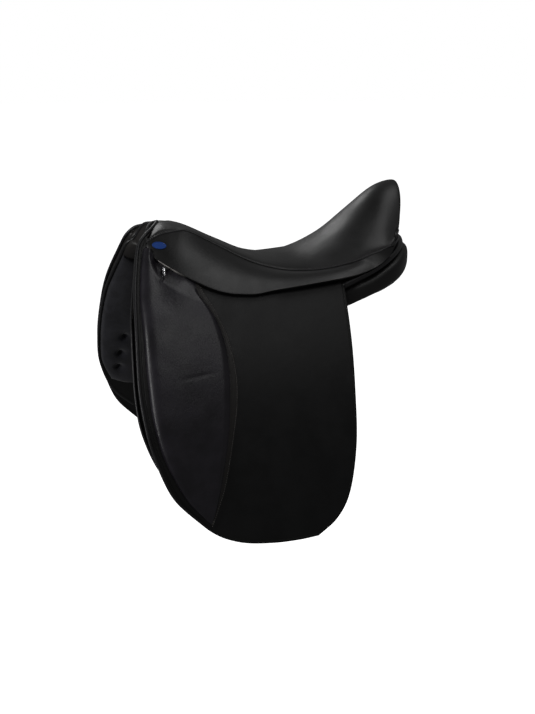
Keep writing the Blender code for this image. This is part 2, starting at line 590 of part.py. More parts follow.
def make_d_rings():
    """Each D-ring hangs in a leather chape, on its own straight side."""
    ring = [(0, -0.0065, 0), (0, 0.0065, 0), (0, 0.0068, -0.008), (0, 0.0035, -0.0138),
            (0, -0.0030, -0.0138), (0, -0.0068, -0.008)]
    color, roughness, metallic = STEEL
    for name, side in SIDES:
        curve = bpy.data.curves.new(f"d_ring_{name}", "CURVE")
        curve.dimensions = "3D"
        curve.bevel_depth = D_RING_WIRE_R
        curve.bevel_resolution = 2
        path = curve.splines.new("POLY")
        path.points.add(len(ring) - 1)
        for point, place in zip(path.points, ring):
            point.co = (*place, 1)
        path.use_cyclic_u = True
        hoop = bpy.data.objects.new(f"d_ring_{name}", curve)
        hoop.location = (D_RING_X, side * 0.1130, 0.1070)
        bpy.context.scene.collection.objects.link(hoop)
        curve.materials.append(paint(f"d_ring_{name}", color, roughness, metallic))
        low, high = (D_RING_X - 0.005, 0.0965, 0.1047), (D_RING_X + 0.005, 0.1045, 0.1068)
        block(f"d_ring_chape_{name}", low, high, LEATHER, side)


def main():
    for obj in list(bpy.data.objects):
        bpy.data.objects.remove(obj)
    make_tree()
    make_seat()
    make_skirts()
    make_flaps()
    make_flap_tops()
    make_girth_straps()
    make_sweat_flaps()
    make_panel()
    make_stirrup_bars()
    make_saddle_nails()
    make_d_rings()


main()
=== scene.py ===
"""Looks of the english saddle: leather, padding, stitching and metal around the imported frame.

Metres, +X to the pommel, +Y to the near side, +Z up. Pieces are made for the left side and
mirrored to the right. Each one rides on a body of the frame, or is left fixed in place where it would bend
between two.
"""

import math

import bmesh
import bpy
import numpy as np
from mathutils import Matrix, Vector, kdtree, noise


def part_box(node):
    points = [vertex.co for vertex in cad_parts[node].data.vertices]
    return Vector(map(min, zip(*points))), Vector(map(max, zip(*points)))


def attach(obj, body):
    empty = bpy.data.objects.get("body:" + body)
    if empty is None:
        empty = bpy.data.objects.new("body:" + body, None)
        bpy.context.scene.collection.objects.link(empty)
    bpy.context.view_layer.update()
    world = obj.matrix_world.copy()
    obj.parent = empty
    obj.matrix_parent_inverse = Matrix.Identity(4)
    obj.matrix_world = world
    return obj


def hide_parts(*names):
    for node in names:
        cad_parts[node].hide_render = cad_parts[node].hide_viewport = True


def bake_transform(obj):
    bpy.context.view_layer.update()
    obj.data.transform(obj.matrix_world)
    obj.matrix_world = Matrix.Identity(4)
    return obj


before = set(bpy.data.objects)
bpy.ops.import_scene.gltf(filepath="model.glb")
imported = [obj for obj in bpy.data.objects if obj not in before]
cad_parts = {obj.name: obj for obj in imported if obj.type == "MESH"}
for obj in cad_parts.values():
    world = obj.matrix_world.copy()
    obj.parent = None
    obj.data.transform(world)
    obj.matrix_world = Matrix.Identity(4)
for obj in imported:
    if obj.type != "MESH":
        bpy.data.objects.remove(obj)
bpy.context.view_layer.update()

SIDES = (("left", 1), ("right", -1))
MIRROR = np.array([1, -1, 1])

# ------------------------------------------------------------------ driving curves

# The seat's centre line, pommel front to cantle back, and its left edge at the welt, in pairs
SEAT_CENTRE = [(0.205, 0, 0.146), (0.198, 0, 0.156), (0.182, 0, 0.163), (0.158, 0, 0.161),
               (0.131, 0, 0.153), (0.081, 0, 0.129), (0.03, 0, 0.1075), (-0.01, 0, 0.102),
               (-0.048, 0, 0.1075), (-0.101, 0, 0.1365), (-0.15, 0, 0.178), (-0.19, 0, 0.209),
               (-0.223, 0, 0.218), (-0.2255, 0, 0.202), (-0.223, 0, 0.173), (-0.217, 0, 0.136)]
SEAT_EDGE = [(0.212, 0.056, 0.143), (0.204, 0.054, 0.147), (0.192, 0.052, 0.152), (0.17, 0.0505, 0.156),
             (0.147, 0.05, 0.1555), (0.106, 0.0565, 0.1345), (0.05, 0.0705, 0.106),
             (-0.005, 0.0845, 0.092), (-0.06, 0.1, 0.093), (-0.11, 0.11, 0.104), (-0.14, 0.112, 0.1145),
             (-0.155, 0.1115, 0.119), (-0.163, 0.109, 0.1215), (-0.168, 0.107, 0.123),
             (-0.172, 0.106, 0.124), (-0.176, 0.1045, 0.1255)]
# At each of those stations: how late the surface falls off, and how late it sweeps forward or back
SEAT_FALL = [1.0, 1.0, 1.0, 1.0, 1.0, 1.0, 1.1, 1.3, 1.7, 2.3, 3.0, 3.5, 3.9, 3.4, 2.6, 1.6]
SEAT_SWEEP = [1.5, 1.5, 1.5, 1.3, 1.0, 1.0, 1.0, 1.0, 1.2, 1.4, 1.5, 1.55, 1.6, 1.6, 1.5, 1.4]
# The left skirt's lower edge, front to back
SKIRT_EDGE = [(0.215, 0.06, 0.137), (0.2125, 0.068, 0.129), (0.205, 0.084, 0.1185),
              (0.194, 0.098, 0.111), (0.178, 0.112, 0.1015), (0.1545, 0.125, 0.0895),
              (0.126, 0.135, 0.0765), (0.104, 0.14, 0.0705), (0.085, 0.142, 0.0685),
              (0.061, 0.143, 0.0675), (0.033, 0.143, 0.0715), (-0.015, 0.143, 0.0765),
              (-0.049, 0.142, 0.08), (-0.079, 0.14, 0.083), (-0.11, 0.136, 0.087),
              (-0.143, 0.128, 0.096), (-0.169, 0.116, 0.109), (-0.185, 0.104, 0.126)]
# The two beads over the pommel, from the centre plane down to where the flap and sweat flap start
FLAP_BEAD_TOP = [(0.185, 0, 0.164), (0.1914, 0.0125, 0.1602), (0.201, 0.0275, 0.1556)]
SWEAT_BEAD_TOP = [(0.1925, 0, 0.1625), (0.2037, 0.019, 0.157)]

# Outlines on the flap, in the (X, Z) plane
FLAP_FRONT = [(0.212, 0.149), (0.2172, 0.1458), (0.2213, 0.1405), (0.2266, 0.1309), (0.2303, 0.1187),
              (0.2398, 0.0852), (0.2464, 0.0533), (0.2515, 0.0088), (0.2551, -0.0435), (0.2535, -0.085),
              (0.244, -0.14), (0.217, -0.208), (0.174, -0.258)]
FLAP_BOTTOM = [(0.174, -0.258), (0.15, -0.275), (0.115, -0.288), (0.07, -0.294), (0.03, -0.2945),
               (-0.001, -0.292)]
FLAP_REAR = [(-0.086, 0.086), (-0.085, 0.06), (-0.081, -0.01), (-0.075, -0.08), (-0.068, -0.158),
             (-0.053, -0.229), (-0.032, -0.267), (-0.001, -0.292)]
FLAP_TOP = [(0.212, 0.149), (0.206, 0.137), (0.198, 0.1235), (0.18, 0.113), (0.158, 0.102),
            (0.128, 0.089), (0.1, 0.08), (0.06, 0.0755), (0.0, 0.079), (-0.045, 0.082), (-0.086, 0.086)]
PAD_TOP = [(0.2195, 0.131), (0.206, 0.122), (0.192, 0.112), (0.176, 0.1015), (0.16, 0.091),
           (0.152, 0.084)]
PAD_FRONT = [(0.2195, 0.131), (0.224, 0.121), (0.2275, 0.11), (0.232, 0.095), (0.2375, 0.073),
             (0.2405, 0.055), (0.2435, 0.008), (0.245, -0.045), (0.2425, -0.1), (0.231, -0.151),
             (0.205, -0.207), (0.174, -0.245)]
PAD_REAR = [(0.152, 0.084), (0.15, 0.069), (0.137, 0.048), (0.128, 0.03), (0.1225, 0.006),
            (0.1205, -0.014), (0.1215, -0.048), (0.124, -0.069), (0.13, -0.11), (0.137, -0.144),
            (0.148, -0.19), (0.158, -0.226), (0.167, -0.251)]
SEAM_REAR = [(0.145, 0.079), (0.1395, 0.066), (0.129, 0.047), (0.121, 0.026), (0.114, 0.002),
             (0.111, -0.029), (0.111, -0.056), (0.116, -0.09), (0.126, -0.131), (0.135, -0.166),
             (0.145, -0.202), (0.156, -0.23), (0.1665, -0.256)]

# The flap's outer surface: half width at its widest, how far it leans in over FLAP_RISE of height
FLAP_WIDE = 0.258
FLAP_LEAN = 0.125
FLAP_LOW = -0.30
FLAP_RISE = 0.366
# How far the surface turns in near the pommel, and the share of that which the sweat flap follows
FLAP_INSET = 0.0235
UNDER_TURN = 0.55

FLAP_T = 0.0045
SKIRT_T = 0.0034
COVER_T = 0.003
SWEAT_FLAP_DEPTH = 0.0220
SWEAT_FLAP_T = 0.003
KNEE_PAD_T = 0.0105
STITCH_PITCH = 0.0034
STITCH_LENGTH = 0.0024
THREAD_R = 0.00042
BEAD_R = 0.0026


# ------------------------------------------------------------------ curves and grids

def knots(points, t):
    """Catmull-Rom through the points, at parameters t that run 0 to 1 over their index."""
    p = np.array(points, float)
    p = p[:, None] if p.ndim == 1 else p
    p = np.vstack([2 * p[0] - p[1], p, 2 * p[-1] - p[-2]])
    at = np.clip(np.asarray(t, float), 0, 1) * (len(p) - 3)
    i = np.minimum(at.astype(int), len(p) - 4)
    f = (at - i)[..., None]
    a, b, c, d = p[i], p[i + 1], p[i + 2], p[i + 3]
    cubic = 2 * b + (c - a) * f + (2 * a - 5 * b + 4 * c - d) * f**2
    return 0.5 * (cubic + (3 * b - a - 3 * c + d) * f**3)


def spline(points, count):
    """That many points, evenly spaced along the curve through the given ones."""
    fine = knots(points, np.linspace(0, 1, 24 * len(points)))
    steps = np.linalg.norm(np.diff(fine, axis=0), axis=1)
    travelled = np.concatenate([[0], np.cumsum(steps)])
    at = np.linspace(0, travelled[-1], count)
    return np.column_stack([np.interp(at, travelled, column) for column in fine.T])


def coons(top, bottom, front, rear, rows, columns):
    """A grid between four outline curves, rows from top to bottom, columns from front to rear."""
    top, bottom = spline(top, columns), spline(bottom, columns)
    front, rear = spline(front, rows), spline(rear, rows)
    t = np.linspace(0, 1, rows)[:, None, None]
    s = np.linspace(0, 1, columns)[None, :, None]
    ruled = (1 - t) * top[None] + t * bottom[None] + (1 - s) * front[:, None] + s * rear[:, None]
    corners = (1 - t) * ((1 - s) * top[0] + s * top[-1]) + t * ((1 - s) * bottom[0] + s * bottom[-1])
    return ruled - corners


def unit(vectors):
    """The vectors, or the one vector, at length 1."""
    return vectors / np.maximum(np.linalg.norm(vectors, axis=-1, keepdims=True), 1e-12)


def normals(grid):
    return unit(np.cross(np.gradient(grid, axis=0), np.gradient(grid, axis=1)))


def offset(grid, distance):
    """The grid moved along its normals, by one distance or by one for each point."""
    distance = np.asarray(distance, float)
    return grid + normals(grid) * (distance[..., None] if distance.ndim == 2 else distance)


def flap_slope(z):
    """How fast the flap's outer surface leans out with height; it is a parabola, widest at FLAP_LOW."""
    return -2 * FLAP_LEAN * (z - FLAP_LOW) / FLAP_RISE**2


def on_flap(plan, depth=0.0, turn=1.0):
    """Lifts a plan in (X, Z) onto the flap's surface, and outwards by depth. Near the pommel the surface
    turns in under the skirt; turn is the share of that to follow."""
    x, z = plan[..., 0], plan[..., 1]
    y = FLAP_WIDE - FLAP_LEAN * ((z - FLAP_LOW) / FLAP_RISE) ** 2
    slope = flap_slope(z)
    length = np.sqrt(1 + slope**2)
    inset = FLAP_INSET * smooth_step(0.015, 0.135, z) * smooth_step(0.165, 0.215, x)
    return np.stack([x, y - turn * inset + depth / length, z - depth * slope / length], axis=-1)


def seat_grid(u, angle):
    """The seat's surface for u from 0 to 1, front to back, and angles from 90 to -90 degrees across."""
    centre, edge = knots(SEAT_CENTRE, u)[:, None], knots(SEAT_EDGE, u)[:, None]
    fall, swept = knots(SEAT_FALL, u), knots(SEAT_SWEEP, u)
    angle = np.radians(angle)[None, :]
    rise = np.cos(angle)
    x = edge[..., 0] + (centre[..., 0] - edge[..., 0]) * rise**swept
    y = (edge[..., 1] - 0.0012) * np.sin(angle)
    z = edge[..., 2] + (centre[..., 2] - edge[..., 2]) * rise**fall
    return np.stack([x, y, z], axis=-1)


def smooth_step(low, high, value):
    t = np.clip((np.asarray(value, float) - low) / (high - low), 0, 1)
    return t * t * (3 - 2 * t)


def ripples(grid, scale):
    """Slow noise at each point of a grid, between -1 and 1."""
    return np.array([[noise.noise(Vector(p) * scale) for p in row] for row in grid])


def squarer(value, power):
    """A sine or cosine pushed towards -1 and 1, which squares off the oval that it draws."""
    return np.sign(value) * np.abs(value) ** power


def bump_at(value, centre, width):
    """A soft bump of height 1 round a centre."""
    return np.exp(-(((np.asarray(value, float) - centre) / width) ** 2))


# ------------------------------------------------------------------ materials

class Paint:
    """A material's node tree, with short calls to add and link nodes."""

    def __init__(self, name):
        self.material = bpy.data.materials.new(name)
        self.material.use_nodes = True
        self.tree = self.material.node_tree
        self.shader = self.tree.nodes["Principled BSDF"]

    def add(self, kind, inputs=(), **settings):
        made = self.tree.nodes.new(kind)
        for key, value in settings.items():
            setattr(made, key, value)
        for key, value in dict(inputs).items():
            if isinstance(value, bpy.types.NodeSocket):
                self.tree.links.new(value, made.inputs[key])
            else:
                made.inputs[key].default_value = value
        return made

    def attribute(self, name, output="Fac"):
        return self.add("ShaderNodeAttribute", attribute_name=name).outputs[output]

    def place(self):
        """The point at rest, in metres, which stays on the piece when it moves."""
        return self.attribute("rest", "Vector")

    def object_place(self):
        return self.add("ShaderNodeTexCoord").outputs["Object"]

    def noise(self, where, scale, detail=3.0, rough=0.5, distortion=0.0):
        found = self.add("ShaderNodeTexNoise", {"Vector": where, "Scale": scale, "Detail": detail,
                                                "Roughness": rough, "Distortion": distortion})
        return found.outputs["Fac"]

    def cells(self, where, scale):
        return self.add("ShaderNodeTexVoronoi", {"Vector": where, "Scale": scale}).outputs["Distance"]

    def math(self, operation, a, b=0.0):
        return self.add("ShaderNodeMath", {0: a, 1: b}, operation=operation).outputs[0]

    def ranged(self, value, low, high, to_low, to_high):
        found = self.add("ShaderNodeMapRange", {"Value": value, "From Min": low, "From Max": high,
                                                "To Min": to_low, "To Max": to_high},
                         interpolation_type="SMOOTHSTEP")
        return found.outputs["Result"]

    def mix(self, share, a, b):
        made = self.add("ShaderNodeMix", {"Factor": share}, data_type="RGBA")
        for socket, value in (("A", a), ("B", b)):
            slot = [s for s in made.inputs if s.name == socket and s.type == "RGBA"][0]
            if isinstance(value, bpy.types.NodeSocket):
                self.tree.links.new(value, slot)
            else:
                slot.default_value = (*value, 1)
        return [s for s in made.outputs if s.type == "RGBA"][0]

    def bump(self, height, strength, distance, below=None):
        inputs = {"Height": height, "Strength": strength, "Distance": distance}
        if below is not None:
            inputs["Normal"] = below
        return self.add("ShaderNodeBump", inputs).outputs["Normal"]

    def finish(self, color=None, roughness=None, normal=None, **constants):
        """Links what varies, and sets what is the same all over on the shader itself."""
        for key, value in (("Base Color", color), ("Roughness", roughness), ("Normal", normal)):
            if isinstance(value, bpy.types.NodeSocket):
                self.tree.links.new(value, self.shader.inputs[key])
            elif value is not None:
                self.shader.inputs[key].default_value = value
        for key, value in constants.items():
            self.shader.inputs[key.replace("_", " ")].default_value = value
        return self.material


def scaled(color, by):
    return tuple(min(1.0, channel * by) for channel in color)


def leather(name, color, roughness, grain=0.0009, depth=0.00012, crease=0.00035, groove=0.0,
            edge=None, edge_from=-1.0, soft=0.0, specular=0.42, coat=0.12):
    """Dyed leather: fine pores, slow mottling, creases, a tooled line near the rim and a band along the
    cut edge in the edge colour: edge dye on the flaps and straps, a light grey painted highlight on the
    skirt.
    """
    paint = Paint(name)
    where = paint.place()
    cloudy = paint.noise(where, 22, 4, 0.6)
    fine = paint.noise(where, 420, 3, 0.6)
    dark, light = scaled(color, 0.72), scaled(color, 1.45)
    shade = paint.mix(paint.ranged(cloudy, 0.3, 0.7, 0, 1), dark, light)
    pores = paint.cells(where, 1 / grain)
    shade = paint.mix(paint.ranged(pores, 0.0, 0.25, 0.35, 0.0), shade, scaled(color, 0.45))
    gloss = paint.ranged(cloudy, 0.25, 0.75, roughness - 0.05, roughness + 0.07)
    normal = paint.bump(pores, 0.5, depth)
    normal = paint.bump(fine, 0.35, depth * 0.8, normal)
    folds = paint.noise(where, 90, 2, 0.5, 1.2)
    normal = paint.bump(folds, 0.30 + soft, crease, normal)
    rim = paint.attribute("rim")
    if groove:
        line = paint.math("ABSOLUTE", paint.math("SUBTRACT", rim, groove))
        tooled = paint.ranged(line, 0.0, 0.0009, 0.0, 1.0)
        normal = paint.bump(tooled, 0.9, 0.0005, normal)
        shade = paint.mix(paint.ranged(line, 0.0, 0.0007, 0.55, 0.0), shade, scaled(color, 0.3))
    if edge:
        # Near the cut edge the colour turns to the edge colour; on the skirt's front that colour is a
        # painted highlight.
        ahead = paint.add("ShaderNodeSeparateXYZ", {"Vector": where}).outputs["X"]
        edge_dye_and_highlight = paint.math("MULTIPLY", paint.ranged(rim, 0.0002, 0.0011, 1.0, 0.0),
                          paint.ranged(ahead, edge_from, edge_from + 0.02, 0.0, 1.0))
        shade = paint.mix(edge_dye_and_highlight, shade, edge)
    return paint.finish(shade, gloss, normal, Specular_IOR_Level=specular, Coat_Weight=coat,
                        Coat_Roughness=0.32)


def suede(name, color):
    """Nubuck: matt, with a short nap that is brushed in patches."""
    paint = Paint(name)
    where = paint.place()
    nap = paint.noise(where, 900, 2, 0.7)
    brushed = paint.noise(where, 35, 4, 0.65, 0.6)
    shade = paint.mix(paint.ranged(brushed, 0.35, 0.65, 0, 1), scaled(color, 0.65), scaled(color, 1.5))
    shade = paint.mix(paint.ranged(nap, 0.4, 0.6, 0.0, 0.5), shade, scaled(color, 1.8))
    normal = paint.bump(nap, 0.5, 0.0003)
    normal = paint.bump(brushed, 0.25, 0.0008, normal)
    return paint.finish(shade, paint.ranged(nap, 0.3, 0.7, 0.78, 0.95), normal, Specular_IOR_Level=0.2,
                        Sheen_Weight=0.22, Sheen_Roughness=0.5)


def thread(name, color):
    """Waxed thread, twisted."""
    paint = Paint(name)
    twist = paint.add("ShaderNodeTexWave", {"Vector": paint.place(), "Scale": 900.0, "Distortion": 2.0})
    strands = twist.outputs["Fac"]
    shade = paint.mix(strands, scaled(color, 0.6), scaled(color, 1.3))
    return paint.finish(shade, 0.6, paint.bump(strands, 0.6, 0.0002), Specular_IOR_Level=0.35)


def metal(name, color, roughness, at_rest=True):
    """Polished or rolled steel with fine scratches."""
    paint = Paint(name)
    where = paint.place() if at_rest else paint.object_place()
    stretched = paint.add("ShaderNodeMapping", {"Vector": where, "Scale": (1, 14, 14)}).outputs["Vector"]
    scratches = paint.noise(stretched, 160, 4, 0.7)
    smoke = paint.noise(where, 60, 3)
    shade = paint.mix(smoke, scaled(color, 0.85), scaled(color, 1.1))
    gloss = paint.ranged(scratches, 0.3, 0.7, roughness * 0.7, roughness * 1.6)
    return paint.finish(shade, gloss, paint.bump(scratches, 0.15, 0.00008), Metallic=1.0)


def wood(name):
    """Laminated beech under clear varnish."""
    paint = Paint(name)
    where = paint.object_place()
    stretched = paint.add("ShaderNodeMapping", {"Vector": where, "Scale": (0.25, 1, 1)}).outputs["Vector"]
    rings = paint.add("ShaderNodeTexWave", {"Vector": stretched, "Scale": 55.0, "Distortion": 5.0,
                                            "Detail": 3.0, "Detail Scale": 2.0}).outputs["Fac"]
    flecks = paint.noise(stretched, 500, 2)
    shade = paint.mix(rings, (0.30, 0.165, 0.075), (0.48, 0.30, 0.155))
    shade = paint.mix(paint.ranged(flecks, 0.55, 0.7, 0, 0.5), shade, (0.17, 0.085, 0.04))
    return paint.finish(shade, paint.ranged(rings, 0, 1, 0.34, 0.5), paint.bump(rings, 0.2, 0.0002),
                        Coat_Weight=0.3)


def foam(name):
    """Latex foam, open-celled."""
    paint = Paint(name)
    pores = paint.cells(paint.place(), 520)
    patches = paint.noise(paint.place(), 30, 3)
    shade = paint.mix(paint.ranged(pores, 0.0, 0.35, 1, 0), (0.52, 0.46, 0.32), (0.25, 0.2, 0.12))
    shade = paint.mix(paint.ranged(patches, 0.3, 0.7, 0.0, 0.35), shade, (0.60, 0.50, 0.30))
    return paint.finish(shade, 0.9, paint.bump(pores, 0.7, 0.0006), Specular_IOR_Level=0.2)


def webbing(name, color):
    """Woven linen web: one wave for the warp, one for the weft."""
    paint = Paint(name)
    where = paint.object_place()
    warp = paint.add("ShaderNodeTexWave", {"Vector": where, "Scale": 260.0}, bands_direction="Y")
    weft = paint.add("ShaderNodeTexWave", {"Vector": where, "Scale": 260.0}, bands_direction="X")
    weave = paint.math("MULTIPLY", warp.outputs["Fac"], weft.outputs["Fac"])
    dirt = paint.noise(where, 40, 3)
    shade = paint.mix(weave, scaled(color, 0.55), scaled(color, 1.15))
    shade = paint.mix(paint.ranged(dirt, 0.4, 0.7, 0, 0.4), shade, scaled(color, 0.5))
    return paint.finish(shade, 0.88, paint.bump(weave, 0.7, 0.0004), Specular_IOR_Level=0.2)


def enamel(name, color):
    """Hard enamel in a slightly domed nail head."""
    paint = Paint(name)
    where = paint.place()
    shade = paint.mix(paint.noise(where, 500, 3), scaled(color, 0.7), scaled(color, 1.25))
    return paint.finish(shade, paint.ranged(paint.noise(where, 900, 2), 0.3, 0.7, 0.12, 0.24),
                        paint.bump(paint.noise(where, 250, 2), 0.08, 0.0002), Coat_Weight=0.6,
                        Coat_Roughness=0.08)


BLACK = (0.0062, 0.0062, 0.0065)
BLUE_BLACK = (0.0125, 0.0108, 0.0155)
EDGE_DYE = (0.020, 0.018, 0.017)
# Light grey painted highlight for the skirt's rounded front cut edge, where light from above catches it.
PAINTED_EDGE_HIGHLIGHT = (0.42, 0.40, 0.38)

seat_leather = leather("seat_leather", (0.0068, 0.0068, 0.0070), 0.40, depth=0.00010, soft=0.1)
# The skirt's front cut edge is painted with the light grey highlight.
skirt_leather = leather("skirt_leather", (0.0066, 0.0066, 0.0068), 0.40, edge=PAINTED_EDGE_HIGHLIGHT, edge_from=0.165)
flap_leather = leather("flap_leather", (0.0050, 0.0050, 0.0052), 0.44, groove=0.0042, edge=EDGE_DYE,
                       specular=0.30, coat=0.05)
pad_leather = leather("pad_leather", BLUE_BLACK, 0.36, grain=0.0012, depth=0.00018, crease=0.0006,
                      soft=0.25)
piping_leather = leather("piping_leather", (0.0075, 0.0073, 0.0085), 0.40, soft=0.15)
strap_leather = leather("strap_leather", BLACK, 0.45, groove=0.0030, edge=EDGE_DYE)
panel_leather = leather("panel_leather", (0.0062, 0.0062, 0.0064), 0.44, grain=0.0011, soft=0.3,
                        crease=0.0007, specular=0.35)
nubuck = suede("nubuck", (0.016, 0.016, 0.020))
light_thread = thread("light_thread", (0.12, 0.115, 0.11))
bright_steel = metal("bright_steel", (0.72, 0.72, 0.74), 0.14)
rolled_steel = metal("rolled_steel", (0.26, 0.26, 0.28), 0.42, at_rest=False)
beech = wood("beech")
latex = foam("latex")
linen = webbing("linen", (0.50, 0.45, 0.33))
blue_enamel = enamel("blue_enamel", (0.010, 0.060, 0.30))


# ------------------------------------------------------------------ making pieces

def set_attribute(mesh, name, values, kind="FLOAT"):
    layer = mesh.attributes.get(name) or mesh.attributes.new(name, kind, "POINT")
    key = "vector" if kind == "FLOAT_VECTOR" else "value"
    layer.data.foreach_set(key, np.asarray(values, np.float32).reshape(-1))


def tree_of(points):
    """A search tree for the nearest of the points."""
    tree = kdtree.KDTree(len(points))
    for i, point in enumerate(points):
        tree.insert(Vector(point), i)
    tree.balance()
    return tree


def points_of(mesh):
    found = np.empty(len(mesh.vertices) * 3, np.float32)
    mesh.vertices.foreach_get("co", found)
    return found.reshape(-1, 3).astype(float)


def settle(obj):
    """Applies the modifiers, so that what follows works on the final mesh."""
    bpy.context.view_layer.update()
    graph = bpy.context.evaluated_depsgraph_get()
    mesh = bpy.data.meshes.new_from_object(obj.evaluated_get(graph), depsgraph=graph)
    obj.modifiers.clear()
    old, obj.data = obj.data, mesh
    if old.users == 0:
        bpy.data.meshes.remove(old)
    return obj


def object_from(name, vertices, faces, material, angle=42):
    mesh = bpy.data.meshes.new(name)
    mesh.from_pydata([tuple(v) for v in vertices], [], faces)
    bm = bmesh.new()
    bm.from_mesh(mesh)
    bmesh.ops.recalc_face_normals(bm, faces=bm.faces)
    bm.to_mesh(mesh)
    bm.free()
    mesh.materials.append(material)
    mesh.shade_smooth()
    mesh.set_sharp_from_angle(angle=math.radians(angle))
    obj = bpy.data.objects.new(name, mesh)
    bpy.context.scene.collection.objects.link(obj)
    return obj


def quads(rows, columns, start=0, closed=False):
    """Faces of a grid of points; closed joins the last column to the first."""
    faces = []
    last = columns if closed else columns - 1
    for r in range(rows - 1):
        for c in range(last):
            d = (c + 1) % columns
            faces.append((start + r * columns + c, start + r * columns + d,
                          start + (r + 1) * columns + d, start + (r + 1) * columns + c))
    return faces


def closed_tube(rings, sides, start=0):
    """Faces of a stack of rings with both ends closed."""
    last = start + (rings - 1) * sides
    return quads(rings, sides, start, closed=True) + [tuple(start + c for c in range(sides)),
                                                      tuple(last + c for c in range(sides))]


def turn_of(count):
    """That many angles round a full turn."""
    return np.linspace(0, 2 * math.pi, count, endpoint=False)


def slab_mesh(name, outer, inner, material, side=1, round_edge=0.0):
    """A closed sheet between two grids, its rim rounded."""
    mirror = np.array([1, side, 1])
    rows, columns = outer.shape[:2]
    size = rows * columns
    vertices = np.vstack([(outer * mirror).reshape(-1, 3), (inner * mirror).reshape(-1, 3)])
    faces = quads(rows, columns) + [tuple(reversed(f)) for f in quads(rows, columns, size)]
    rim = [r * columns for r in range(rows)] + [(rows - 1) * columns + c for c in range(1, columns)]
    rim += [r * columns + columns - 1 for r in range(rows - 2, -1, -1)]
    rim += list(range(columns - 2, 0, -1))
    for a, b in zip(rim, rim[1:] + rim[:1]):
        faces.append((a, b, size + b, size + a))
    obj = object_from(name, vertices, faces, material)
    if round_edge:
        bevel = obj.modifiers.new("rim", "BEVEL")
        bevel.width, bevel.segments = round_edge, 3
        bevel.limit_method, bevel.angle_limit = "ANGLE", math.radians(40)
        settle(obj)
        obj.data.shade_smooth()
        obj.data.set_sharp_from_angle(angle=math.radians(60))
    return obj


def tube_mesh(name, path, radius, material, side=1, sides=14, closed=False):
    """A round bead along a path, its ends closed with domes."""
    path = np.array(path, float) * np.array([1, side, 1])
    radius = np.broadcast_to(np.asarray(radius, float), (len(path),)).copy()
    if not closed:
        reach, shrink = np.array([1.0, 0.86, 0.5]), np.array([0.02, 0.5, 0.86])
        first = path[0] + unit(path[0] - path[1]) * radius[0] * reach[:, None]
        last = path[-1] + unit(path[-1] - path[-2]) * radius[-1] * reach[::-1, None]
        path = np.vstack([first, path, last])
        radius = np.concatenate([radius[0] * shrink, radius, radius[-1] * shrink[::-1]])
    if closed:
        along = np.roll(path, -1, axis=0) - np.roll(path, 1, axis=0)
    else:
        along = np.gradient(path, axis=0)
    along = unit(along)
    up = np.array([0.0, 0.0, 1.0]) if abs(along[0][2]) < 0.8 else np.array([1.0, 0.0, 0.0])
    angles = turn_of(sides)
    rings = []
    for centre, t, r in zip(path, along, radius):
        across = unit(np.cross(t, up))
        up = np.cross(across, t)
        rings.append(centre + r * (np.cos(angles)[:, None] * across + np.sin(angles)[:, None] * up))
    rings = np.array(rings)
    if closed:
        base = (len(rings) - 1) * sides
        faces = quads(len(rings), sides, closed=True)
        faces += [(base + c, base + (c + 1) % sides, (c + 1) % sides, c) for c in range(sides)]
    else:
        faces = closed_tube(len(rings), sides)
    return object_from(name, rings.reshape(-1, 3), faces, material)


def stitch_mesh(name, path, out, material):
    """A run of sewn stitches: a short rounded thread for each, sunk a little at its ends."""
    travelled = np.concatenate([[0], np.cumsum(np.linalg.norm(np.diff(path, axis=0), axis=1))])

    def at_distance(distance, values):
        return np.array([np.interp(distance, travelled, column) for column in values.T])

    vertices, faces = [], []
    for k in range(int(travelled[-1] / STITCH_PITCH)):
        faces += closed_tube(5, 6, len(vertices))
        for part, lift, fat in ((-0.5, -0.6, 0.55), (-0.28, 0.35, 1.0), (0.0, 0.6, 1.1), (0.28, 0.35, 1.0),
                                (0.5, -0.6, 0.55)):
            at = (k + 0.5) * STITCH_PITCH + part * STITCH_LENGTH
            along = unit(at_distance(at + 1e-3, path) - at_distance(at - 1e-3, path))
            across = unit(np.cross(along, at_distance(at, out)))
            up = np.cross(across, along)
            middle = at_distance(at, path) + up * THREAD_R * lift
            for a in turn_of(6):
                vertices.append(middle + THREAD_R * fat * (math.cos(a) * across + math.sin(a) * up))
    return object_from(name, vertices, faces, material)


def done(obj, body, replaces=(), blend=None, rim=None):
    """Stores the rest place for the materials, and hangs the piece on the frame."""
    points = points_of(obj.data)
    set_attribute(obj.data, "rest", points, "FLOAT_VECTOR")
    if rim is not None:
        tree = tree_of(rim)
        distances = [tree.find(Vector(p))[2] for p in points]
        set_attribute(obj.data, "rim", distances)
    if blend:
        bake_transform(obj)
    else:
        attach(obj, body)
    if replaces:
        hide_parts(*replaces)
    return obj


def hang_pair(obj, replaces=(), blend=None):
    """Hangs a left piece and its mirror image. Replaced nodes are named without their side."""
    mesh = obj.data.copy()
    mesh.vertices.foreach_set("co", (points_of(mesh) * MIRROR).astype(np.float32).ravel())
    mesh.flip_normals()
    other = bpy.data.objects.new(f"{obj.name}_right", mesh)
    bpy.context.scene.collection.objects.link(other)
    obj.name = f"{obj.name}_left"
    for (name, side), piece in zip(SIDES, (obj, other)):
        nodes = [f"{node}_{name}" for node in replaces]
        done(piece, "root", nodes, blend and blend(name, side))


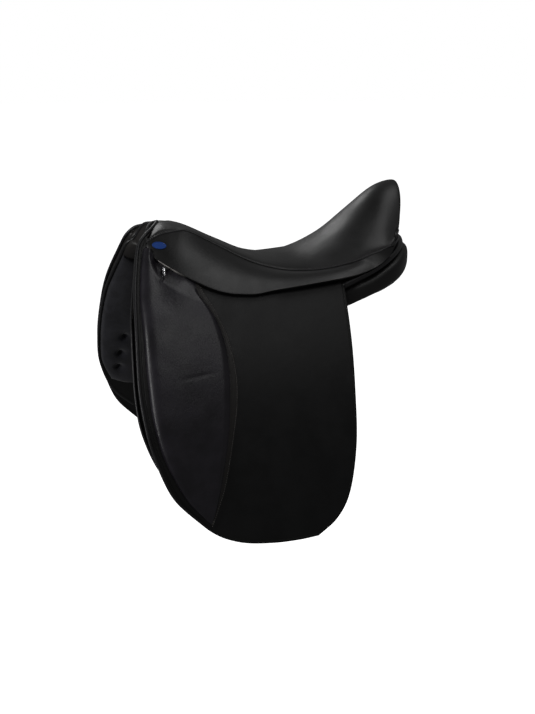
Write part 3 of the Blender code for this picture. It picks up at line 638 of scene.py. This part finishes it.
def inflate(obj, held, limit=0.0028):
    """Blows up a coarse copy of a padded piece as cloth, held along its seams, and moves the piece's
    own points as far as the cloth moved, so that stitched detail stays sharp."""
    scene = bpy.context.scene
    copy = bpy.data.objects.new("cloth_copy", obj.data.copy())
    scene.collection.objects.link(copy)
    remesh = copy.modifiers.new("remesh", "REMESH")
    remesh.mode, remesh.voxel_size = "VOXEL", 0.005
    settle(copy)
    before = points_of(copy.data)
    seams = tree_of(held)
    group = copy.vertex_groups.new(name="held")
    for i, point in enumerate(before):
        group.add([i], float(1 - smooth_step(0.004, 0.016, seams.find(Vector(point))[2])), "REPLACE")
    cloth = copy.modifiers.new("cloth", "CLOTH")
    cloth.settings.vertex_group_mass = "held"
    cloth.settings.use_pressure = True
    cloth.settings.uniform_pressure_force = 4
    cloth.settings.tension_stiffness = cloth.settings.compression_stiffness = 12
    cloth.settings.effector_weights.gravity = 0
    cloth.point_cache.frame_start, cloth.point_cache.frame_end = 1, 20
    for frame_number in range(1, 21):
        scene.frame_set(frame_number)
    moved = points_of(copy.evaluated_get(bpy.context.evaluated_depsgraph_get()).data) - before
    scene.frame_set(1)
    far = np.linalg.norm(moved, axis=1, keepdims=True)
    moved *= np.minimum(1, limit / np.maximum(far, 1e-9))
    around = tree_of(before)
    points = points_of(obj.data)
    for i, point in enumerate(points.copy()):
        found = around.find_n(Vector(point), 6)
        shares = np.array([1 / (distance + 0.001) ** 2 for _, _, distance in found])
        points[i] += shares @ moved[[index for _, index, _ in found]] / shares.sum()
    obj.data.vertices.foreach_set("co", points.astype(np.float32).ravel())
    obj.data.update()
    bpy.data.objects.remove(copy)


def rim_points(outer, inner, side, edges=4):
    """Points along a sheet's cut edge, close together; the lower edge comes first."""
    found = []
    for a, b in ((outer[-1], inner[-1]), (outer[0], inner[0]), (outer[:, 0], inner[:, 0]),
                 (outer[:, -1], inner[:, -1]))[:edges]:
        for share in (0.0, 0.33, 0.67, 1.0):
            line = a + (b - a) * share
            fine = spline(line, 4 * len(line))
            found.append(fine)
    return np.vstack(found) * np.array([1, side, 1])


def flap_blend(name, side):
    return (f"flap_{name}", (0.08, side * 0.1292, 0.0725), (0.08, side * 0.1460, 0.0475))


def skirt_blend(name, side):
    return (f"skirt_{name}", (0.0600, side * 0.1080, 0.0960), (0.0600, side * 0.1270, 0.0790))


# ------------------------------------------------------------------ seat

def make_seat():
    u = np.linspace(0, 1, 150)
    angle = np.concatenate([np.linspace(88, 60, 12, endpoint=False), np.linspace(60, -60, 73),
                            -np.linspace(60, 88, 13)[1:]])
    grid = seat_grid(u, angle)
    across = np.abs(np.broadcast_to(angle[None], grid.shape[:2]))
    along = np.broadcast_to(u[:, None], grid.shape[:2])
    near_edge = smooth_step(62, 82, across)
    gathers = np.sin(grid[..., 0] * 2 * math.pi / 0.0095 + 1.4 * np.sin(grid[..., 0] * 90))
    place = bump_at(grid[..., 0], -0.02, 0.05)
    relief = 0.00055 * near_edge * place * gathers
    relief += 0.0005 * ripples(grid, 26) * smooth_step(0.1, 0.3, along)
    grid = offset(grid, relief)
    inner = offset(grid, -COVER_T)
    seat = slab_mesh("seat_leather_top", grid, inner, seat_leather, round_edge=0.0009)
    done(seat, "root", ["seat_cover"])

    low = seat_grid(np.linspace(0.09, 0.74, 60), np.linspace(64, -64, 41))
    body = slab_mesh("seat_padding", offset(low, -COVER_T - 0.0006), offset(low, -0.0195), latex)
    done(body, "root", ["seat_foam"])

    bead = knots([(x, y + 0.0012, z - 0.0016) for x, y, z in SEAT_EDGE], np.linspace(0, 1, 220))
    behind = seat_grid(np.array([1.0]), np.linspace(80, 0, 24))[0]
    bead = spline(np.vstack([bead[::4], behind - np.array([0.001, 0, 0.001])]), 320)
    for name, side in SIDES:
        piece = tube_mesh(f"seat_welt_{name}", bead, 0.0019, piping_leather, side)
        done(piece, "root", [f"welt_{name}"])


def skirt_grid(rows, columns):
    """The left skirt's outer surface, rows from the welt to the lower edge."""
    t = np.linspace(0.0, 0.985, columns)
    top = spline([(x, y + 0.0035, z - 0.0022) for x, y, z in SEAT_EDGE], 801)[(800 * t).astype(int)]
    low = spline(SKIRT_EDGE, 801)[(800 * t).astype(int)]
    out = unit(np.cross(low - top, (-1.0, 0, 0)))
    s = np.linspace(0, 1, rows)[:, None, None]
    swell = 0.007 * np.sin(np.pi * s) * np.sin(np.pi * np.minimum(t * 1.15, 1))[None, :, None] ** 0.5
    return top[None] + (low - top)[None] * s + out[None] * swell


def make_skirts():
    outer = skirt_grid(34, 150)
    inner = offset(outer, -SKIRT_T)
    for name, side in SIDES:
        piece = slab_mesh(f"skirt_leather_{name}", outer, inner, skirt_leather, side, 0.0011)
        done(piece, "root", [f"skirt_top_{name}", f"skirt_{name}"],
             blend=skirt_blend(name, side), rim=rim_points(outer[:, 12:], inner[:, 12:], side, 1))


# ------------------------------------------------------------------ flaps

def make_flaps():
    plan = coons(FLAP_TOP, FLAP_BOTTOM, FLAP_FRONT, FLAP_REAR, 120, 96)
    outer, inner = on_flap(plan), on_flap(plan, -FLAP_T)
    front = spline(FLAP_FRONT + FLAP_BOTTOM[1:3], 186)
    ahead = unit(np.gradient(front, axis=0)[:, ::-1] * np.array([-1, 1]))
    outward = 0.0020 - 0.0036 * smooth_step(0.70, 0.82, np.linspace(0, 1, 186))[:, None]
    bead = np.vstack([FLAP_BEAD_TOP, on_flap(front + ahead * outward, -0.0012)[::6]])
    bead = spline(bead, 230)
    radius = BEAD_R * (1 - 0.8 * smooth_step(0.84, 1.0, np.linspace(0, 1, 230)))
    for name, side in SIDES:
        piece = slab_mesh(f"flap_leather_{name}", outer, inner, flap_leather, side, 0.0013)
        done(piece, "root", [f"flap_top_{name}", f"flap_{name}"],
             blend=flap_blend(name, side), rim=rim_points(outer, inner, side))
        piece = tube_mesh(f"flap_bead_{name}", bead, radius, piping_leather, side)
        done(piece, "root", [f"flap_piping_{name}"], blend=flap_blend(name, side))


def pad_profile(s, t):
    """The knee pad's thickness: a full roll at the front, falling to the seam behind."""
    front = np.sqrt(np.clip(1 - (1 - np.clip(s / 0.15, 0, 1)) ** 2, 0, 1))
    back = 1 - 0.45 * smooth_step(0.15, 0.92, s)
    seam = np.sqrt(np.clip(1 - smooth_step(0.90, 1.0, s), 0, 1))
    low = 1 - 0.55 * smooth_step(0.55, 1.0, t)
    end = np.sqrt(np.clip(1 - smooth_step(0.93, 1.0, t), 0, 1))
    return front * back * seam * low * end


def make_knee_pads():
    rows, columns = 170, 70
    plan = coons(PAD_TOP, [PAD_FRONT[-1], PAD_REAR[-1]], PAD_FRONT, PAD_REAR, rows, columns)
    s = np.broadcast_to(np.linspace(0, 1, columns)[None], (rows, columns))
    t = np.broadcast_to(np.linspace(0, 1, rows)[:, None], (rows, columns))
    skirt_x, _, skirt_z = np.array(SKIRT_EDGE[::-1]).T
    below = np.interp(plan[..., 0], skirt_x, skirt_z) - plan[..., 1]
    recess = smooth_step(0.034, 0.006, below) * smooth_step(0.10, 0.30, s)
    thick = 0.0006 + KNEE_PAD_T * pad_profile(s, t) * (1 - 0.9 * recess)
    low = on_flap(plan, 0.0002)
    crease = bump_at(plan[..., 1] + 0.12 * (plan[..., 0] - 0.17), -0.041, 0.0022) * bump_at(s, 0.62, 0.2)
    away = smooth_step(0.02, 0.2, s) * smooth_step(1, 0.8, s)
    thick = thick + (0.0006 * ripples(low, 32) - 0.0006 * crease) * away
    high = offset(low, np.maximum(thick, 0.0005))
    pad = slab_mesh("knee_padding", high, low, pad_leather)
    inflate(pad, low[::3, ::3].reshape(-1, 3), 0.0015)
    inner_seam, outer_seam = spline(PAD_REAR, 160), spline(SEAM_REAR, 160)
    share = np.linspace(0, 1, 7)[None, :, None]
    strip_plan = inner_seam[:, None] * (1 - share) + outer_seam[:, None] * share
    strip_plan[:, 0, 0] += 0.0015
    rise = 0.0016 * np.sin(np.pi * np.linspace(0.12, 0.88, 7)) ** 0.5
    strip = on_flap(strip_plan, rise[None])
    strip = slab_mesh("pad_border", strip, on_flap(strip_plan, -0.0004), flap_leather)
    seam = on_flap(outer_seam + np.array([0.0014, 0]), 0.0014)
    hang_pair(pad, ["knee_pad"], flap_blend)
    hang_pair(strip, blend=flap_blend)
    stitches = stitch_mesh("pad_seam", seam, normals_on_flap(seam), light_thread)
    hang_pair(stitches, blend=flap_blend)


def normals_on_flap(points):
    slope = flap_slope(points[:, 2])
    return unit(np.stack([np.zeros(len(points)), np.ones(len(points)), -slope], axis=1))


# ------------------------------------------------------------------ under the flaps

SWEAT_TOP = [(0.2145, 0.149), (0.203, 0.128), (0.185, 0.096), (0.175, 0.068), (0.12, 0.052),
             (0.02, 0.048), (-0.06, 0.046)]
SWEAT_BOTTOM = [(0.19, -0.212), (0.12, -0.246), (0.04, -0.25), (-0.02, -0.225)]
SWEAT_FRONT = [(0.2145, 0.149), (0.2227, 0.1433), (0.2301, 0.1307), (0.2351, 0.1121), (0.2437, 0.083),
               (0.2523, 0.0486), (0.2556, 0.0216), (0.2582, -0.0077), (0.2605, -0.06), (0.255, -0.112),
               (0.232, -0.17), (0.19, -0.212)]
SWEAT_REAR = [(-0.06, 0.046), (-0.062, -0.06), (-0.052, -0.16), (-0.02, -0.225)]
FRONT_PAD_TOP = [(0.23, 0.119), (0.198, 0.103), (0.158, 0.07)]
FRONT_PAD_BOTTOM = [(0.236, -0.146), (0.2, -0.156), (0.16, -0.15)]
FRONT_PAD_FRONT = [(0.23, 0.119), (0.2355, 0.1), (0.2415, 0.078), (0.249, 0.048), (0.256, -0.01),
                   (0.257, -0.06), (0.2535, -0.105), (0.236, -0.146)]
FRONT_PAD_REAR = [(0.158, 0.07), (0.152, -0.05), (0.16, -0.15)]
TUFTS = [(0.217, -0.044), (0.223, -0.081), (0.225, -0.113)]


def make_sweat_flaps():
    plan = coons(SWEAT_TOP, SWEAT_BOTTOM, SWEAT_FRONT, SWEAT_REAR, 100, 70)
    outer = on_flap(plan, -SWEAT_FLAP_DEPTH, UNDER_TURN)
    inner = on_flap(plan, -SWEAT_FLAP_DEPTH - SWEAT_FLAP_T, UNDER_TURN)
    bead = on_flap(spline(SWEAT_FRONT, 160), -SWEAT_FLAP_DEPTH - 0.0012, UNDER_TURN)
    bead = spline(np.vstack([SWEAT_BEAD_TOP, bead[::6]]), 220)
    for name, side in SIDES:
        piece = slab_mesh(f"sweat_leather_{name}", outer, inner, flap_leather, side, 0.0010)
        done(piece, "root", [f"sweat_flap_{name}"], rim=rim_points(outer, inner, side))
        piece = tube_mesh(f"sweat_bead_{name}", bead, BEAD_R, piping_leather, side)
        done(piece, "root")
    fore = pommel_line(SWEAT_BEAD_TOP, SWEAT_FRONT, -SWEAT_FLAP_DEPTH, UNDER_TURN)
    back = pommel_line(FLAP_BEAD_TOP, FLAP_FRONT, -0.002, 1.0)
    y = np.linspace(-0.068, 0.068, len(fore))
    arch = np.column_stack([np.full(len(fore), 0.203), y, 0.121 - 6.4 * y**2])
    share = np.linspace(0, 1, 10)[:, None, None]
    face = fore[None] * (1 - share) + arch[None] * share
    face[..., 0] += 0.004 * np.sin(np.pi * share[..., 0])
    done(slab_mesh("pommel_facing", face, offset(face, -0.0025), flap_leather), "root")
    wrap = back[None] * (1 - share) + fore[None] * share
    done(slab_mesh("pommel_wrap", wrap, offset(wrap, -0.0025), flap_leather), "root")


def pommel_line(over_top, front, depth, turn):
    """A line from one side's edge, over the pommel and down the other side's."""
    half = spline(np.vstack([over_top, on_flap(spline(front[:6], 24), depth, turn)]), 50)
    return np.vstack([half[::-1] * np.array([1, -1, 1]), half[1:]])


def make_front_pads():
    rows, columns = 130, 60
    plan = coons(FRONT_PAD_TOP, FRONT_PAD_BOTTOM, FRONT_PAD_FRONT, FRONT_PAD_REAR, rows, columns)
    s = np.linspace(0, 1, columns)[None]
    t = np.linspace(0, 1, rows)[:, None]
    swell = (np.sin(np.pi * np.clip(s, 0.0, 1)) * np.sin(np.pi * np.clip(t, 0, 1))) ** 0.30
    thick = 0.001 + 0.0215 * np.clip(swell, 0, 1)
    for x, z in TUFTS:
        far = np.hypot(plan[..., 0] - x, plan[..., 1] - z)
        thick -= 0.0085 * np.exp(-((far / 0.0065) ** 2)) + 0.003 * np.exp(-((far / 0.016) ** 2))
    back = on_flap(plan, -SWEAT_FLAP_DEPTH - SWEAT_FLAP_T - 0.0004, UNDER_TURN)
    thick += 0.0007 * ripples(back, 30) * swell
    face = offset(back, -np.maximum(thick, 0.0008))
    pad = slab_mesh("front_padding", face, back, nubuck)
    stitched = [on_flap(np.array([x, z]), -SWEAT_FLAP_DEPTH - 0.016) for x, z in TUFTS]
    inflate(pad, np.vstack([back[::3, ::3].reshape(-1, 3), stitched]))
    hang_pair(pad, ["front_pad"])


def make_knee_blocks():
    rows, columns = 70, 26
    plan = coons([(0.186, 0.010), (0.146, 0.010)], [(0.176, -0.176), (0.150, -0.176)],
                 [(0.186, 0.010), (0.204, -0.070), (0.176, -0.176)],
                 [(0.146, 0.010), (0.160, -0.070), (0.150, -0.176)], rows, columns)
    s = np.linspace(0, 1, columns)[None]
    t = np.linspace(0, 1, rows)[:, None]
    swell = (np.sin(np.pi * s) ** 0.5) * (np.sin(np.pi * t) ** 0.35)
    back = on_flap(plan, -SWEAT_FLAP_DEPTH + 0.0003)
    face = offset(back, 0.0008 + 0.0124 * swell)
    for name, side in SIDES:
        piece = slab_mesh(f"knee_block_padding_{name}", face, back, pad_leather, side)
        done(piece, "root", [f"knee_block_{name}"])


def make_straps():
    """Girth straps with a row of punched holes and a pointed end."""
    for kind, centre, depth in (("front", 0.043, 0.0105), ("rear", -0.012, 0.0160)):
        rows, columns = 120, 13
        z = np.linspace(0.055, -0.262, rows)
        point = smooth_step(-0.262, -0.246, z)
        half = 0.0125 * (0.25 + 0.75 * np.sqrt(point))
        across = np.linspace(1, -1, columns)
        plan = np.stack([centre + half[:, None] * across[None], np.repeat(z[:, None], columns, 1)], -1)
        outer, inner = on_flap(plan, -depth), on_flap(plan, -depth - 0.0032)
        for name, side in SIDES:
            strap = slab_mesh(f"girth_billet_{kind}_{name}", outer, inner, strap_leather, side, 0.0008)
            for z_hole in np.arange(-0.085, -0.235, -0.0254):
                spot = np.array([centre, z_hole])
                start, end = on_flap(spot, -depth + 0.004), on_flap(spot, -depth - 0.008)
                bore = [start, (start + end) / 2, end]
                cutter = tube_mesh("hole_cutter", bore, 0.0021, strap_leather, side, 16)
                cut = strap.modifiers.new("hole", "BOOLEAN")
                cut.object, cut.operation = cutter, "DIFFERENCE"
                settle(strap)
                bpy.data.objects.remove(cutter)
            done(strap, f"strap_{kind}_{name}", [f"girth_strap_{kind}_{name}"],
                 rim=rim_points(outer, inner, side))


# ------------------------------------------------------------------ panel

# Sections of the left cushion: inner and outer end in plan, then top and bottom heights at each end
PANEL_STATIONS = [(0.142, 0.046, 0.142, 0.088, 0.066, 0.052, 0.042, 0.028),
                  (0.125, 0.04, 0.125, 0.1, 0.066, 0.05, 0.032, 0.014),
                  (0.08, 0.036, 0.08, 0.112, 0.06, 0.038, 0.024, 0.002),
                  (0.04, 0.034, 0.04, 0.116, 0.055, 0.032, 0.022, -0.002),
                  (0.0, 0.033, 0.0, 0.117, 0.052, 0.03, 0.022, -0.001),
                  (-0.04, 0.032, -0.04, 0.117, 0.054, 0.04, 0.024, 0.003),
                  (-0.072, 0.032, -0.078, 0.122, 0.06, 0.06, 0.031, 0.018),
                  (-0.095, 0.032, -0.107, 0.13, 0.068, 0.0725, 0.036, 0.031),
                  (-0.115, 0.032, -0.138, 0.1275, 0.076, 0.0825, 0.042, 0.041),
                  (-0.135, 0.031, -0.168, 0.1185, 0.086, 0.095, 0.048, 0.05),
                  (-0.153, 0.03, -0.195, 0.1035, 0.094, 0.106, 0.054, 0.06),
                  (-0.168, 0.028, -0.2155, 0.081, 0.102, 0.1145, 0.062, 0.071),
                  (-0.18, 0.026, -0.2295, 0.052, 0.108, 0.12, 0.07, 0.082),
                  (-0.188, 0.022, -0.2345, 0.02, 0.112, 0.1215, 0.078, 0.089)]
ROLL = [(-0.088, 0.1295, 0.0705), (-0.132, 0.1205, 0.0847), (-0.161, 0.1105, 0.0965),
        (-0.187, 0.0925, 0.1078), (-0.2085, 0.0655, 0.116), (-0.222, 0.033, 0.1225),
        (-0.227, 0.0, 0.124)]
UNDER_SEAT = [(-0.088, 0.096, 0.08), (-0.125, 0.094, 0.095), (-0.152, 0.086, 0.11), (-0.17, 0.07, 0.122),
              (-0.184, 0.05, 0.131), (-0.194, 0.026, 0.136), (-0.197, 0.0, 0.138)]


# Along the gullet: X, then the lining's height at its sides and in the middle
GULLET = [(-0.205, 0.11, 0.118), (-0.15, 0.086, 0.1), (-0.08, 0.058, 0.078), (0.0, 0.046, 0.068),
          (0.08, 0.052, 0.074), (0.13, 0.06, 0.088), (0.15, 0.064, 0.098)]
# The tree's head with its padding, left half in the (Y, Z) plane
HEAD_INSIDE = [(0, 0.121), (0.03, 0.114), (0.05, 0.1015), (0.064, 0.088), (0.075, 0.07), (0.0805, 0.048),
               (0.083, 0.024)]
HEAD_OUTSIDE = [(0, 0.142), (0.036, 0.136), (0.062, 0.122), (0.08, 0.106), (0.093, 0.086),
                (0.102, 0.056), (0.104, 0.024)]


def make_panels():
    u = np.linspace(0, 1, 120)
    columns = knots(PANEL_STATIONS, u).T[:, :, None]
    inner_x, inner_y, outer_x, outer_y, top_in, top_out, low_in, low_out = columns
    nose = np.sqrt(np.clip(1 - (1 - np.clip(u / 0.05, 0, 1)) ** 2, 0.002, 1))[:, None]
    around = turn_of(72)[None]
    a = 0.5 + 0.5 * nose * squarer(np.cos(around), 0.60)
    b = 0.5 + 0.5 * nose * squarer(np.sin(around), 0.60)
    top, low = top_in + (top_out - top_in) * a, low_in + (low_out - low_in) * a
    rings = np.stack([inner_x + (outer_x - inner_x) * a, inner_y + (outer_y - inner_y) * a,
                      low + (top - low) * b], -1)
    vertices = rings.reshape(-1, 3)
    vertices = vertices + np.array([[0, 0, 0.0009 * noise.noise(Vector(v) * 24)] for v in vertices])
    cushion = object_from("panel_cushion", vertices, closed_tube(len(rings), 72), panel_leather)
    inflate(cushion, rings[::2, [0, 1, 2, 35, 36, 37]].reshape(-1, 3))
    hang_pair(cushion, ["panel"])
    path = knots(ROLL, np.linspace(0, 1, 130))
    roll = tube_mesh("panel_roll_leather", path, 0.0052, piping_leather, sides=18)
    hang_pair(roll, ["panel_roll"])
    outwards = -unit(np.cross(np.gradient(path, axis=0), (0, 0, 1.0)))
    cord = path + outwards * 0.0022 + np.array([0, 0, -0.0062])
    hang_pair(tube_mesh("panel_piping", cord, 0.0015, piping_leather, sides=10))
    share = np.linspace(0, 1, 12)[:, None, None]
    high = knots(UNDER_SEAT, np.linspace(0, 1, 130))
    cover = path[None] * (1 - share) + high[None] * share
    cover = slab_mesh("panel_cover", cover, cover - np.array([0, 0, 0.0025]), panel_leather)
    hang_pair(cover)


def make_gullet_lining():
    """The leather that closes the channel above, between the two cushions."""
    x = np.linspace(0.150, -0.205, 60)
    at, sides, crowns = np.array(GULLET).T
    crown, side = np.interp(x, at, crowns)[:, None], np.interp(x, at, sides)[:, None]
    across = np.linspace(-1, 1, 25)[None]
    sheet = np.stack([np.repeat(x[:, None], 25, 1), np.repeat(0.044 * across, 60, 0),
                      side + (crown - side) * np.cos(across * math.pi / 2) ** 0.6], -1)
    lining = slab_mesh("gullet_lining", sheet, sheet - np.array([0, 0, 0.002]), panel_leather)
    done(lining, "root")


def make_head_padding():
    """The padding that wraps the tree's head and its points."""
    halves = [spline(line, 40) for line in (HEAD_INSIDE, HEAD_OUTSIDE)]
    inside, outside = [np.vstack([half[::-1] * np.array([-1, 1]), half[1:]]) for half in halves]
    rings = []
    for angle in turn_of(40):
        across = 0.5 - 0.5 * squarer(math.cos(angle), 0.5)
        x = 0.165 + 0.0225 * squarer(math.sin(angle), 0.5)
        line = inside * (1 - across) + outside * across
        rings.append(np.column_stack([np.full(len(line), x), line]))
    rings = np.array(rings).transpose(1, 0, 2)
    piece = object_from("head_padding", rings.reshape(-1, 3), closed_tube(len(rings), 40), panel_leather)
    done(piece, "root")


def make_arch():
    half_arch = [(0.071, 0.084), (0.058, 0.101), (0.034, 0.1145), (0, 0.120)]
    arch = half_arch + [(-y, z) for y, z in half_arch[-2::-1]]
    line = spline([(0.194, y, z) for y, z in arch], 90)
    up = unit(np.gradient(line, axis=0)[:, [0, 2, 1]] * np.array([0, 1, -1]))
    rows = []
    for a in turn_of(32):
        forward = np.array([0.0100 * squarer(math.cos(a), 0.8), 0, 0])
        rows.append(line + forward + up * 0.0040 * squarer(math.sin(a), 0.8))
    vertices = np.array(rows).transpose(1, 0, 2).reshape(-1, 3)
    piece = object_from("front_arch_padding", vertices, closed_tube(90, 32), nubuck)
    done(piece, "root", ["panel_front_arch"])


# ------------------------------------------------------------------ fittings

# The nail's head from its rim to its crown: share of the oval, and height
NAIL_RINGS = [(1.0, 0.0), (1.0, 0.0009), (0.95, 0.0014), (0.86, 0.0013), (0.84, 0.001), (0.6, 0.0016),
              (0.3, 0.0019), (0.02, 0.002)]
NAIL_HALF_LENGTH = 0.0115
NAIL_HALF_WIDTH = 0.0064
# The D-ring's wire: straight at the top, round below
D_RING = [(0, -0.0065, 0.0069), (0, 0.0065, 0.0069), (0, 0.007, 0.001), (0, 0.0042, -0.005),
          (0, 0, -0.0066), (0, -0.0042, -0.005), (0, -0.007, 0.001)]
D_RING_TURN = math.radians(20)


def make_nail(name, side):
    """The oval enamel nail at the front corner of the skirt, seated on the skirt's own surface."""
    skirt = skirt_grid(34, 150)
    mirror = np.array([1, side, 1])
    low, high = (np.array(c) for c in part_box(f"saddle_nail_{name}"))
    seated = (low + high) / 2 * mirror
    row, column = np.unravel_index(np.argmin(np.linalg.norm(skirt - seated, axis=-1)), skirt.shape[:2])
    column -= 3
    out = normals(skirt)[row, column]
    ahead = unit(skirt[row, column - 2] - skirt[row, column + 2])
    across = np.cross(out, ahead)
    angles = turn_of(48)[:, None]
    oval = NAIL_HALF_LENGTH * np.cos(angles) * ahead + NAIL_HALF_WIDTH * np.sin(angles) * across
    rings = [skirt[row, column] + out * (height + 0.0001) + share * oval for share, height in NAIL_RINGS]
    vertices = np.array(rings).reshape(-1, 3) * mirror
    nail = object_from(f"oval_nail_{name}", vertices, closed_tube(len(rings), 48), blue_enamel, 30)
    done(nail, "root", [f"saddle_nail_{name}"])


def make_d_ring(name, side):
    path = spline(D_RING + D_RING[:3], 160)
    spans = len(D_RING) + 2
    first = 160 // spans
    _, y, z = path[first:first + 160 * len(D_RING) // spans].T
    loop = np.column_stack([y * math.sin(D_RING_TURN), y * math.cos(D_RING_TURN) * side, z])
    low, high = (np.array(c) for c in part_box(f"d_ring_{name}"))
    loop += (low + high) / 2 + np.array([0.004, 0, 0.003])
    hoop = tube_mesh(f"d_ring_wire_{name}", loop, 0.0012, bright_steel, closed=True)
    done(hoop, f"d_ring_{name}", [f"d_ring_{name}"])


def repaint():
    looks = {"tree_head": beech, "tree_cantle": beech, "tree_rail": beech, "gullet_plate": rolled_steel,
             "tree_spring": rolled_steel, "catch_pin": rolled_steel, "seat_web": linen,
             "stirrup_bar": bar_steel, "bar_catch": bar_steel,
             "point_pocket": pocket_leather, "d_ring_chape": pocket_leather}
    for name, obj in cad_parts.items():
        for key, material in looks.items():
            if name.startswith(key):
                for slot in obj.material_slots:
                    slot.material = material


def plain_leather(name):
    """Leather for pieces that come straight from the frame."""
    paint = Paint(name)
    where = paint.object_place()
    cloudy = paint.noise(where, 30, 3)
    pores = paint.cells(where, 1000)
    shade = paint.mix(cloudy, (0.005, 0.005, 0.005), (0.010, 0.010, 0.010))
    normal = paint.bump(pores, 0.4, 0.0001)
    return paint.finish(shade, paint.ranged(cloudy, 0.3, 0.7, 0.4, 0.5), normal)


bar_steel = metal("bar_steel", (0.66, 0.66, 0.68), 0.2, at_rest=False)
pocket_leather = plain_leather("pocket_leather")


# ------------------------------------------------------------------ studio

SKY = 0.12


def studio():
    scene = bpy.context.scene
    scene.view_settings.view_transform = "Standard"
    azimuth, elevation, distance = math.radians(17.6), math.radians(15.6), 1.75
    aim = Vector((0, 0, -0.076))
    back = Vector((math.sin(azimuth) * math.cos(elevation), math.cos(azimuth) * math.cos(elevation),
                   math.sin(elevation)))
    camera = bpy.data.objects.new("camera", bpy.data.cameras.new("camera"))
    camera.data.lens, camera.data.sensor_width = 51.63, 36
    camera.data.clip_start = 0.05
    camera.location = aim + back * distance
    camera.rotation_euler = back.to_track_quat("Z", "Y").to_euler()
    scene.collection.objects.link(camera)
    scene.camera = camera

    world = scene.world or bpy.data.worlds.new("world")
    scene.world = world
    world.use_nodes = True
    tree = world.node_tree
    sky, seen = tree.nodes["Background"], tree.nodes.new("ShaderNodeBackground")
    sky.inputs["Color"].default_value, sky.inputs["Strength"].default_value = (1, 1, 1, 1), SKY
    seen.inputs["Color"].default_value, seen.inputs["Strength"].default_value = (1, 1, 1, 1), 1.0
    ray, mix = tree.nodes.new("ShaderNodeLightPath"), tree.nodes.new("ShaderNodeMixShader")
    tree.links.new(ray.outputs["Is Camera Ray"], mix.inputs["Fac"])
    tree.links.new(sky.outputs["Background"], mix.inputs[1])
    tree.links.new(seen.outputs["Background"], mix.inputs[2])
    tree.links.new(mix.outputs["Shader"], tree.nodes["World Output"].inputs["Surface"])

    bpy.ops.mesh.primitive_plane_add(size=60, location=(0, 0, -0.55))
    floor = bpy.context.object
    floor.name = "floor"
    floor.visible_diffuse = floor.visible_glossy = False
    paint = Paint("floor_paint")
    speck = paint.noise(paint.object_place(), 40, 3)
    paint.finish(paint.mix(speck, (0.93, 0.93, 0.93), (0.97, 0.97, 0.97)), 0.9)
    paint.shader.inputs["Emission Color"].default_value = (1, 1, 1, 1)
    paint.shader.inputs["Emission Strength"].default_value = 1.0
    floor.data.materials.append(paint.material)

    def softbox(name, place, target, size, power):
        light = bpy.data.objects.new(name, bpy.data.lights.new(name, "AREA"))
        light.data.shape = "RECTANGLE"
        light.data.size, light.data.size_y = size
        light.data.energy = power
        light.location = place
        aimed = Vector(target) - Vector(place)
        light.rotation_euler = aimed.to_track_quat("-Z", "Y").to_euler()
        scene.collection.objects.link(light)

    softbox("top", (-0.55, 0.35, 2.0), (0, 0.1, 0), (1.1, 0.9), 5.5)
    softbox("back", (0.45, -1.7, 1.2), (-0.1, 0, 0.1), (1.1, 0.7), 6)
    softbox("key", (-0.4, 1.5, 1.5), (0, 0.1, 0), (0.9, 0.7), 2.6)
    softbox("front", (2.0, 0.5, 0.4), (0.15, 0.1, -0.05), (0.22, 1.4), 14)


make_seat()
make_skirts()
make_flaps()
make_knee_pads()
make_sweat_flaps()
make_front_pads()
make_knee_blocks()
make_straps()
make_panels()
make_gullet_lining()
make_head_padding()
make_arch()
for side_name, side_sign in SIDES:
    make_nail(side_name, side_sign)
    make_d_ring(side_name, side_sign)
repaint()
studio()
